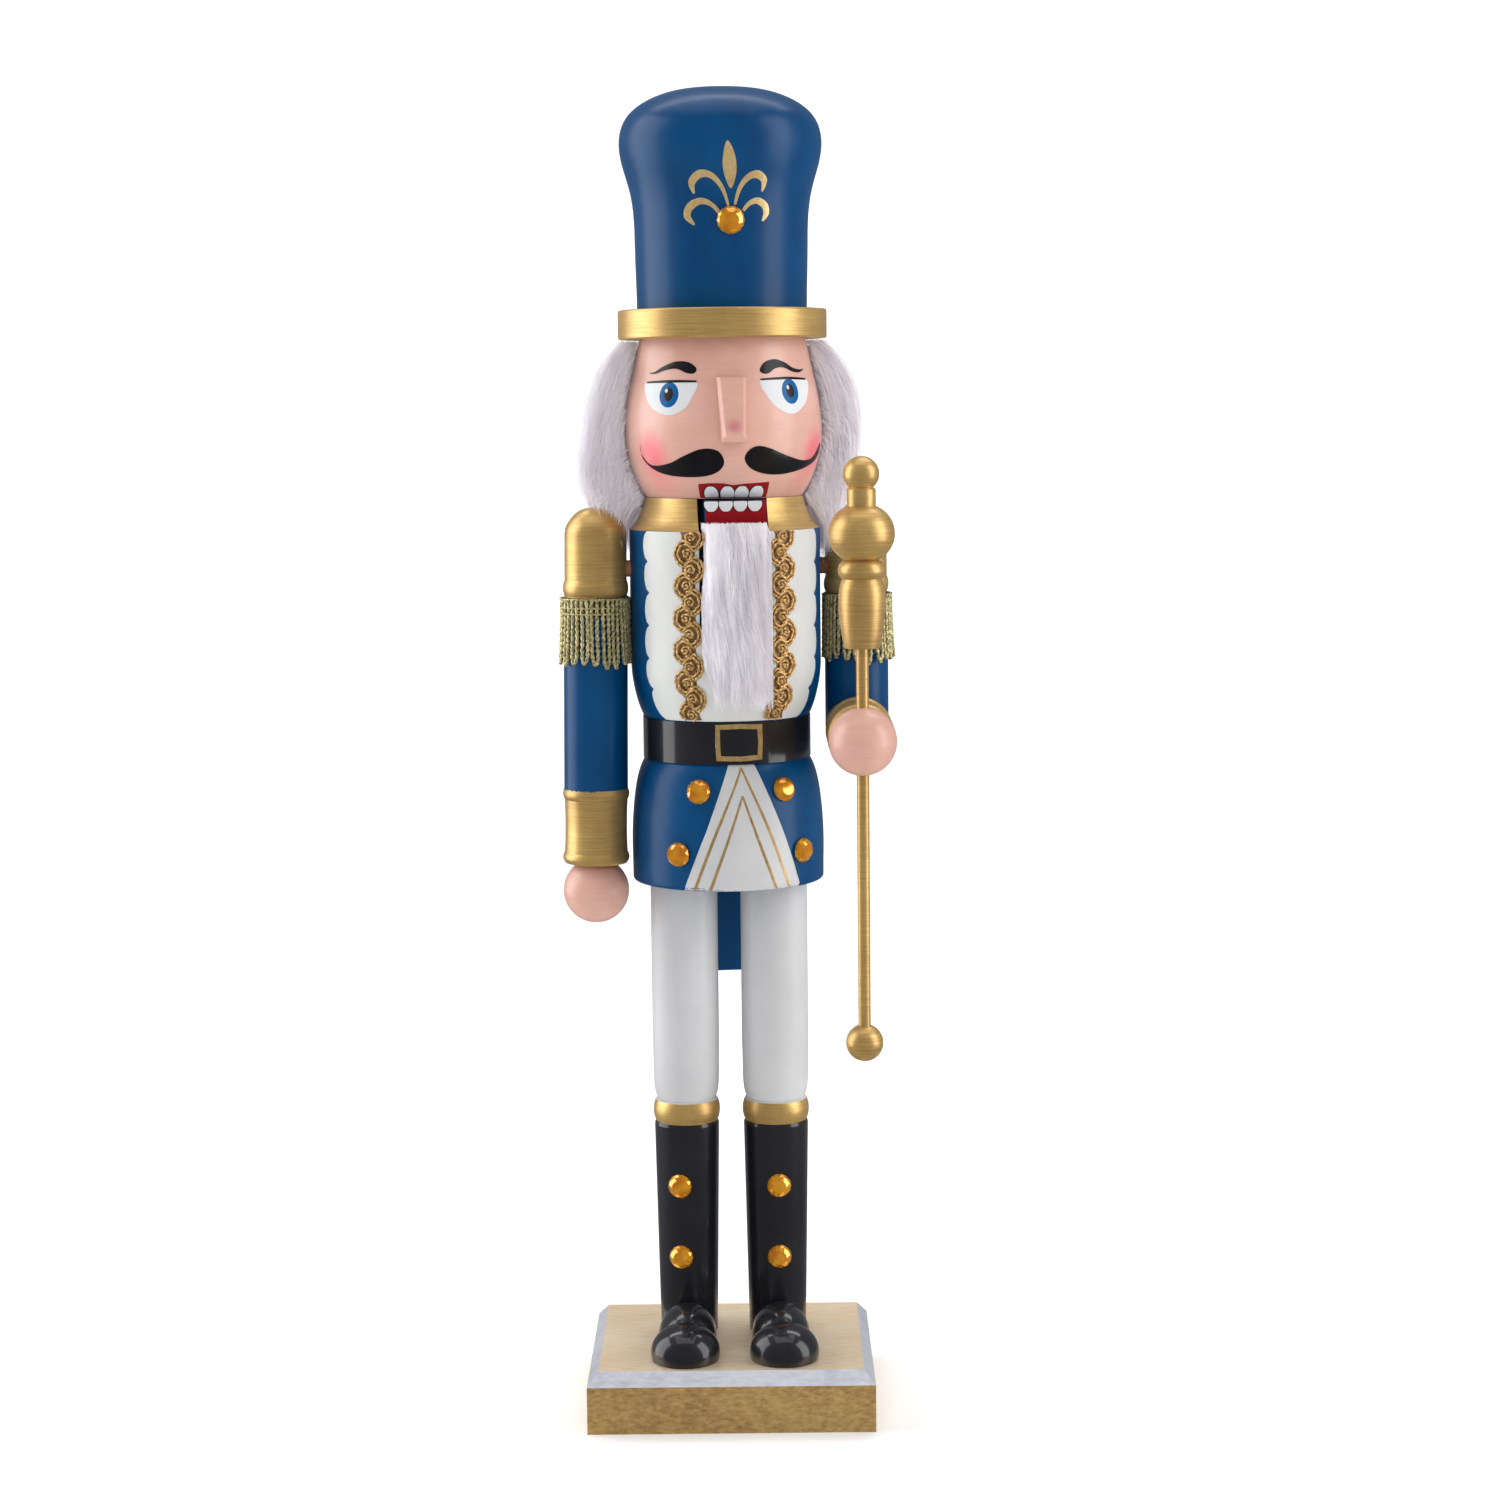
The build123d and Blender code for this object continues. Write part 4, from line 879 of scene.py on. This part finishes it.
# The core is a darker copy of the fur: painted shade deep inside the pile.
FUR_CORE_SHADED = fur_material("fur_core_shaded", (0.60, 0.56, 0.61), (0.84, 0.80, 0.84))
FUR_WIDTHS_MM = (0.09, 0.17)
axis_mm = np.array((AXIS.x, AXIS.y)) / MM

# The fur's outer radius by height, each side of the head
HAIR_HEIGHTS = (238.0, 246.0, 254.0, 262.0, 268.0, 273.0, 280.0, 286.0, 293.0, 299.0, 304.0, 309.3)
HAIR_RIGHT = (28.6, 31.0, 35.2, 38.6, 41.4, 42.2, 41.2, 40.2, 39.0, 37.0, 34.4, 30.4)
HAIR_LEFT = (28.4, 30.4, 32.4, 34.6, 36.8, 38.2, 39.4, 39.6, 39.0, 37.2, 34.4, 30.4)
HEAD_HEIGHTS = (238.0, 255.4, 264.5, 272.9, 283.5, 294.3, 309.4)
HEAD_RADII = (27.6, 27.6, 22.8, 26.7, 28.45, 27.3, 23.9)


def hair_reach(angle, height):
    """Outer radius of the fur at an angle from the front, negative on the figure's right."""
    left_share = 0.5 + 0.5 * np.sin(angle)
    right = np.interp(height, HAIR_HEIGHTS, HAIR_RIGHT)
    left = np.interp(height, HAIR_HEIGHTS, HAIR_LEFT)
    return right * (1 - left_share) + left * left_share


def ring(angle, radius_mm, height_mm):
    """Points about the figure's axis from arrays of angle, radius and height, in metres."""
    return MM * np.stack((
        axis_mm[0] + radius_mm * np.sin(angle), axis_mm[1] - radius_mm * np.cos(angle), height_mm,
    ), axis=-1)


FACE_EDGE = math.radians(80.0)  # the fur starts this far round from the front
FUR_TOP = 309.2  # under the brim
CORE_BOTTOM, CORE_TOP = 250.0, 306.5
CORE_SIDE_BOTTOM = 263.0  # below this the core is tucked in, except behind
CORE_BEHIND = 0.55  # radians each way from the middle of the back
TUCKED_RADIUS = 23.5
COLLAR_CLEARANCE_RADIUS = 29.2
hair_front = math.radians(FACE_TURN)


def hair_core():
    """The dense underfur, a closed crescent round the back of the head."""
    turns = np.linspace(FACE_EDGE + 0.22, 2 * math.pi - FACE_EDGE - 0.22, 72) + hair_front
    heights = np.linspace(CORE_BOTTOM, CORE_TOP, 26)
    outer, inner = [], []
    for height in heights:
        head = np.interp(height, HEAD_HEIGHTS, HEAD_RADII)
        reach = hair_reach(turns, height)
        from_edge = np.minimum(turns - turns[0], turns[-1] - turns) / 0.5
        swell = np.clip(from_edge, 0.0, 1.0) ** 0.7
        lumps = 0.5 * np.sin(7 * turns + height * 0.3) + 0.5 * np.sin(11 * turns - height * 0.21)
        wall = max(head, COLLAR_CLEARANCE_RADIUS if height < 264 else head) + 0.2
        thick = np.clip((reach - wall) * 0.72 * swell + lumps * 0.4, 0.15, None)
        if height < CORE_SIDE_BOTTOM:
            tucked = np.clip((np.abs(turns - hair_front - math.pi) - CORE_BEHIND) / 0.3, 0, 1)
            wall = wall * (1 - tucked) + TUCKED_RADIUS * tucked
            thick = thick * (1 - tucked) + 0.1 * tucked
        outer.append(ring(turns, wall + thick, np.full_like(turns, height)))
        inner.append(ring(turns, np.zeros_like(turns) + wall, np.full_like(turns, height)))
    rows, columns = len(heights), len(turns)
    vertices = np.concatenate((np.array(outer).reshape(-1, 3), np.array(inner).reshape(-1, 3)))
    count = rows * columns
    faces = grid_faces(rows, columns) + [quad[::-1] for quad in grid_faces(rows, columns, count)]
    borders = [(i * columns + k, columns, k == 0) for i in range(rows - 1) for k in (0, columns - 1)]
    borders += [(i * columns + k, 1, i == 0) for i in (0, rows - 1) for k in range(columns - 1)]
    for a, step, flip in borders:
        quad = (a, a + step, a + step + count, a + count)
        faces.append(quad[::-1] if flip else quad)
    core = new_object("hair_core", vertices, faces, FUR_CORE_SHADED, "figure")
    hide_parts("hair")


def hair_tufts(name, start, end, count, deep=0.2, lowest_root=262.0, lowest_tip=236.0):
    """Fur between two angles from the front: each strand leaves the head, swings out and hangs, in locks."""
    levels = 7
    locks = 50
    lock_angle = rng.uniform(start, end, locks)
    lock_height = rng.uniform(258.0, 306.0, locks)
    lock_lean = rng.normal(0, 0.06, locks)
    lock_length = rng.uniform(0.8, 1.3, locks)
    lock_lift = rng.normal(0, 0.05, locks)
    angle = rng.uniform(start, end, count)
    height = FUR_TOP - (FUR_TOP - lowest_root) * rng.uniform(0, 1, count) ** 0.9
    nearest = np.argmin(
        ((angle[:, None] - lock_angle) * 30) ** 2 + ((height[:, None] - lock_height) * 0.8) ** 2, axis=1
    )
    lean = lock_lean[nearest] + rng.normal(0, 0.035, count)
    length = 13.0 * lock_length[nearest] * rng.uniform(0.55, 1.2, count)
    length = np.minimum(length, height - lowest_tip)
    start_share = rng.uniform(deep, 0.8, count)
    end_share = start_share + rng.uniform(0.12, 0.42, count) + lock_lift[nearest]
    stray = rng.uniform(0, 1, count) ** 9
    end_share = np.minimum(end_share, 1.0 + 0.03 * rng.normal(size=count)) + 0.2 * stray
    curl = rng.normal(0, 0.022, (count, 1)) * np.linspace(0, 1, levels) ** 2
    t = np.linspace(0, 1, levels)[None, :]
    z = height[:, None] - length[:, None] * t ** 1.25
    turn = angle[:, None] + lean[:, None] * t + curl * np.sin(5 * t + angle[:, None] * 9)
    head = np.interp(z, HEAD_HEIGHTS, HEAD_RADII) + 0.2
    share = start_share[:, None] + (end_share - start_share)[:, None] * np.sqrt(t)
    radius = head + (hair_reach(turn + hair_front, z) - head) * share
    paths = ring(turn + hair_front, radius, z)
    return strands_mesh(name, paths, rng.uniform(*FUR_WIDTHS_MM, count), FUR, "figure")


start_edge, end_edge = FACE_EDGE, 2 * math.pi - FACE_EDGE
EDGE_SPAN = 0.42
hair_core()
hair_tufts("hair_edge_left", start_edge, start_edge + EDGE_SPAN, 15500, deep=0.0)
hair_tufts("hair_edge_right", end_edge - EDGE_SPAN, end_edge, 15500, deep=0.0)
HAIR_PIECES = 3
for piece in range(HAIR_PIECES):
    span = (end_edge - start_edge - 2 * EDGE_SPAN) / HAIR_PIECES
    first = start_edge + EDGE_SPAN + piece * span
    hair_tufts(
        f"hair_{piece + 1}", first - 0.1, first + span + 0.1, 14500, deep=0.45,
        lowest_root=256.0, lowest_tip=248.5,
    )


BEARD_TOP, BEARD_LOWEST_ROOT, BEARD_TIP = 258.0, 218.0, 204.5
BEARD_CORE_TOP, BEARD_CORE_BOTTOM = 257.6, 214.0
BEARD_ON_JAW = 25.6  # the fur's inner face on the jaw, from the figure's axis
BEARD_ON_CHEST = 28.1  # and where it hangs on the chest
BEARD_FADE = (230.0, 252.0)  # heights between which one passes into the other
BEARD_SIDES = (-9.6, 10.2)
BEARD_BEND = (243.0, 206.0)  # heights where the beard would leave the jaw and reach the chest; nothing is bent by them


def beard_core():
    """The beard's dense middle: a bulging front and a flat back."""
    levels, columns = 16, 12
    bulging, flat = [], []
    for share in np.linspace(0.0, 1.0, levels).tolist():
        height = BEARD_CORE_TOP + (BEARD_CORE_BOTTOM - BEARD_CORE_TOP) * share
        half = 8.9 - 0.6 * share
        depth = 26.0 + 4.6 * math.sin(math.pi * min(1.0, 0.15 + 0.85 * share)) ** 0.7
        back = float(np.interp(height, (230.0, 246.0), (27.95, 25.45)))
        middle = 0.4 + 0.4 * share
        for angle in np.linspace(0.0, math.pi, columns).tolist():
            forward = back + (max(depth, back + 0.5) - back) * abs(math.sin(angle)) ** 0.5
            bulging.append(on_jaw_depth(middle - half * math.cos(angle), height, forward))
        for across in np.linspace(-half, half, columns).tolist():
            flat.append(on_jaw_depth(middle + across, height, back))
    faces = [quad[::-1] for quad in grid_faces(levels, columns)] + grid_faces(levels, columns, len(bulging))
    core = new_object("beard_core", bulging + flat, faces, FUR_CORE_SHADED, None)
    bend_beard(core)
    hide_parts("beard")


def beard_fur():
    """Long strands from the jaw's front down the chest, in locks that drift to the figure's left."""
    count, levels, locks = 13000, 8, 46
    lock_across = rng.uniform(-8.5, 8.8, locks)
    lock_drift = rng.normal(2.8, 1.2, locks)
    lock_wave = rng.uniform(0, 2 * math.pi, locks)
    across = rng.uniform(-9.5, 8.6, count)
    height = BEARD_TOP - (BEARD_TOP - BEARD_LOWEST_ROOT) * rng.uniform(0, 1, count) ** 1.2
    lock = np.argmin(np.abs(across[:, None] - lock_across) + 0.05 * np.abs(height[:, None] - 250), axis=1)
    length = rng.uniform(11.0, 27.0, count)
    length = np.minimum(length, height - BEARD_TIP - rng.uniform(0, 7.0, count))
    t = np.linspace(0, 1, levels)[None, :]
    pull = 0.45 * t ** 1.3
    z = height[:, None] - length[:, None] * t
    x = across[:, None] * (1 - pull) + lock_across[lock][:, None] * pull + lock_drift[lock][:, None] * t
    x += 0.7 * np.sin(0.16 * (BEARD_TOP - z) + lock_wave[lock][:, None] * 0.35)
    x += rng.normal(0, 0.7, (count, 1)) * t ** 1.5
    crown = 1 - (across / 9.6) ** 2
    depth_start = 26.0 + 3.4 * crown * rng.uniform(0.3, 1.0, count) ** 0.5
    lift = rng.uniform(0.2, 2.2, count) * (0.35 + 0.65 * crown)
    forward = depth_start[:, None] + lift[:, None] * np.sin(math.pi * np.clip(t * 0.9, 0, 1))
    thin = np.clip((z - 205.0) / 38.0, 0, 1) ** 0.6
    floor = np.interp(z, BEARD_FADE, (BEARD_ON_CHEST, BEARD_ON_JAW))
    forward = floor + np.maximum(forward - BEARD_ON_JAW, 0.15) * (0.25 + 0.75 * thin)
    x = np.clip(x, *BEARD_SIDES)
    angle = math.radians(TURN)
    ahead = np.array((math.sin(angle), -math.cos(angle)))
    sideways = np.array((math.cos(angle), math.sin(angle)))
    forward = forward - 0.42 * (x / 9.0) ** 2
    plane = axis_mm + forward[..., None] * ahead + x[..., None] * sideways
    paths = MM * np.concatenate((plane, z[..., None]), axis=-1)
    strands = strands_mesh("beard_strands", paths, rng.uniform(*FUR_WIDTHS_MM, count), FUR, None)
    bend_beard(strands)


def on_jaw_depth(across, height, forward_mm):
    point, _ = flat_front(forward_mm, TURN)(across, height)
    return point


def bend_beard(piece):
    """Bakes the piece's placement into its mesh; the beard's points on the jaw and the chest are found, but
    nothing is bent.
    """
    front = flat_front(CHEST_RADIUS_MM, TURN)
    start, end = (front(0.0, height)[0] for height in BEARD_BEND)
    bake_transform(piece)


beard_core()
beard_fur()


# ----- Rhinestones -----

STONE_SIDES = 14
# Each ring of a stone's corners: share of its radius, share of its height, and turn in sides
STONE_RINGS = ((1.0, 0.0, 0.0), (1.0, 0.22, 0.0), (0.86, 0.62, 0.5), (0.56, 1.0, 0.0))


def stone_shader():
    """Clear amber acrylic over foil, seen as a cloudy metal under a sharp coat."""
    shader = Shader("amber_stone", Metallic=0.55, Roughness=0.1, Coat_Weight=1.0, Coat_Roughness=0.0)
    cloud = shader.noise((260.0,) * 3, detail=1.0)
    shader.feed(Base_Color=shader.ramp(cloud, (0.3, (0.72, 0.21, 0.001)), (0.7, (1.0, 0.46, 0.015))))
    return shader.material


def cut_stone(node):
    """A foil-backed acrylic stone: a many-sided table, two rows of facets and a girdle."""
    points = np.array([vertex.co for vertex in nodes[node].data.vertices])
    middle = points.mean(axis=0)
    _, _, axes = np.linalg.svd(points - middle, full_matrices=False)
    outward = axes[2] * np.sign(axes[2] @ (middle - np.array((AXIS.x, AXIS.y, middle[2]))))
    if node.startswith("boot"):
        outward = axes[2] * np.sign(-axes[2][1])
    first = axes[0]
    second = np.cross(outward, first)
    along = (points - middle) @ outward
    radius = np.abs((points - middle) @ first).max()
    base, top = along.min(), along.max()
    sides = STONE_SIDES
    vertices, faces = [], []
    for share, rise, shift in STONE_RINGS:
        for k in range(sides):
            angle = 2 * math.pi * (k + shift) / sides
            vertices.append(
                middle + radius * share * (math.cos(angle) * first + math.sin(angle) * second)
                + outward * (base + (top - base) * rise)
            )
    for level, (lower, upper) in enumerate(zip(STONE_RINGS, STONE_RINGS[1:])):
        for k in range(sides):
            a, b = level * sides + k, level * sides + (k + 1) % sides
            c, d = a + sides, b + sides
            if lower[2] == upper[2]:
                faces.append((a, b, d, c))
            elif upper[2]:
                faces += [(a, b, c), (b, d, c)]
            else:
                faces += [(a, b, d), (a, d, c)]
    table = len(vertices) - sides
    faces.append(range(table, table + sides))
    faces.append(range(sides - 1, -1, -1))
    stone = new_object(f"stone_{node}", vertices, faces, STONE, "figure", smooth=False)
    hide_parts(node)


STONE = stone_shader()
for node in sorted(nodes):
    if "_gem" in node:
        cut_stone(node)


# ----- Floor, light and camera -----

FLOOR_FRONT, FLOOR_BACK, FLOOR_HALF_WIDTH = -1.2, 1.0, 2.4
WALL_BEND = 0.6  # the radius in which the floor turns up into the wall
WALL_TOP = 2.6


def studio_floor():
    """A pale floor that curves up into a wall behind the figure."""
    profile = [(FLOOR_FRONT, 0.0), (FLOOR_BACK, 0.0)]
    for step in range(1, 13):
        angle = math.radians(90 * step / 12)
        profile.append((FLOOR_BACK + WALL_BEND * math.sin(angle), WALL_BEND - WALL_BEND * math.cos(angle)))
    profile.append((FLOOR_BACK + WALL_BEND, WALL_TOP))
    vertices = [(x, y, z) for y, z in profile for x in (-FLOOR_HALF_WIDTH, FLOOR_HALF_WIDTH)]
    shader = Shader("studio_paper", Roughness=0.9, Specular_IOR_Level=0.1)
    tone = shader.noise((3.0,) * 3, detail=2.0)
    shader.feed(Base_Color=shader.ramp(tone, (0.0, 0.90), (1.0, 0.93)))
    floor = new_object("studio_floor", vertices, grid_faces(len(profile), 2), shader.material, None)
    floor.visible_glossy = False  # the lacquer then reflects the dark studio, as a shot with black flags does


# Name, place, what it is aimed at, size and power in watts
FIGURE_MIDDLE = (0.0, 0.0, 0.2)
WALL_MIDDLE = (0.0, 1.4, 0.2)
SOFT_LIGHTS = (
    ("key_light", (-1.28, 0.16, 0.55), FIGURE_MIDDLE, (1.1, 1.6), 19),
    ("fill_light", (1.22, -0.36, 0.55), FIGURE_MIDDLE, (0.7, 1.6), 14),
    ("top_light", (0.0, -0.1, 1.6), FIGURE_MIDDLE, (1.4, 1.0), 6),
    ("wall_light", (0.0, 0.9, 1.9), WALL_MIDDLE, (2.6, 0.6), 22),
    ("front_light", (0.0, -1.7, 0.9), FIGURE_MIDDLE, (1.6, 1.2), 9),
)


def soft_light(name, place, target, size, power):
    data = bpy.data.lights.new(name, "AREA")
    data.shape = "RECTANGLE"
    data.size, data.size_y = size
    data.energy = power
    light = bpy.data.objects.new(name, data)
    light.location = place
    light.rotation_euler = (Vector(target) - Vector(place)).to_track_quat("-Z", "Y").to_euler()
    light.visible_glossy = name != "front_light"  # that one is too diffuse to leave a highlight
    bpy.context.scene.collection.objects.link(light)


studio_floor()
for light_values in SOFT_LIGHTS:
    soft_light(*light_values)

world = bpy.data.worlds.new("studio")
world.use_nodes = True
backdrop = world.node_tree.nodes["Background"]
backdrop.inputs["Color"].default_value = (0.93, 0.95, 1.0, 1.0)
backdrop.inputs["Strength"].default_value = 0.22
bpy.context.scene.world = world
bpy.context.scene.view_settings.view_transform = "Standard"

CAMERA_PLACE = (0.00896, -0.85, 0.2918)
CAMERA_LENS_MM, CAMERA_SENSOR_MM = 71.16, 36.0
CAMERA_PAN, CAMERA_TILT_DOWN, CAMERA_ROLL = (math.radians(degrees) for degrees in (0.120, 6.721, -0.620))

camera_data = bpy.data.cameras.new("camera")
camera_data.sensor_width = CAMERA_SENSOR_MM
camera_data.lens = CAMERA_LENS_MM
camera = bpy.data.objects.new("camera", camera_data)
camera.location = CAMERA_PLACE
camera.rotation_euler = (
    Matrix.Rotation(CAMERA_PAN, 4, "Z") @ Matrix.Rotation(math.pi / 2 - CAMERA_TILT_DOWN, 4, "X")
    @ Matrix.Rotation(CAMERA_ROLL, 4, "Z")
).to_euler()
bpy.context.scene.collection.objects.link(camera)
bpy.context.scene.camera = camera
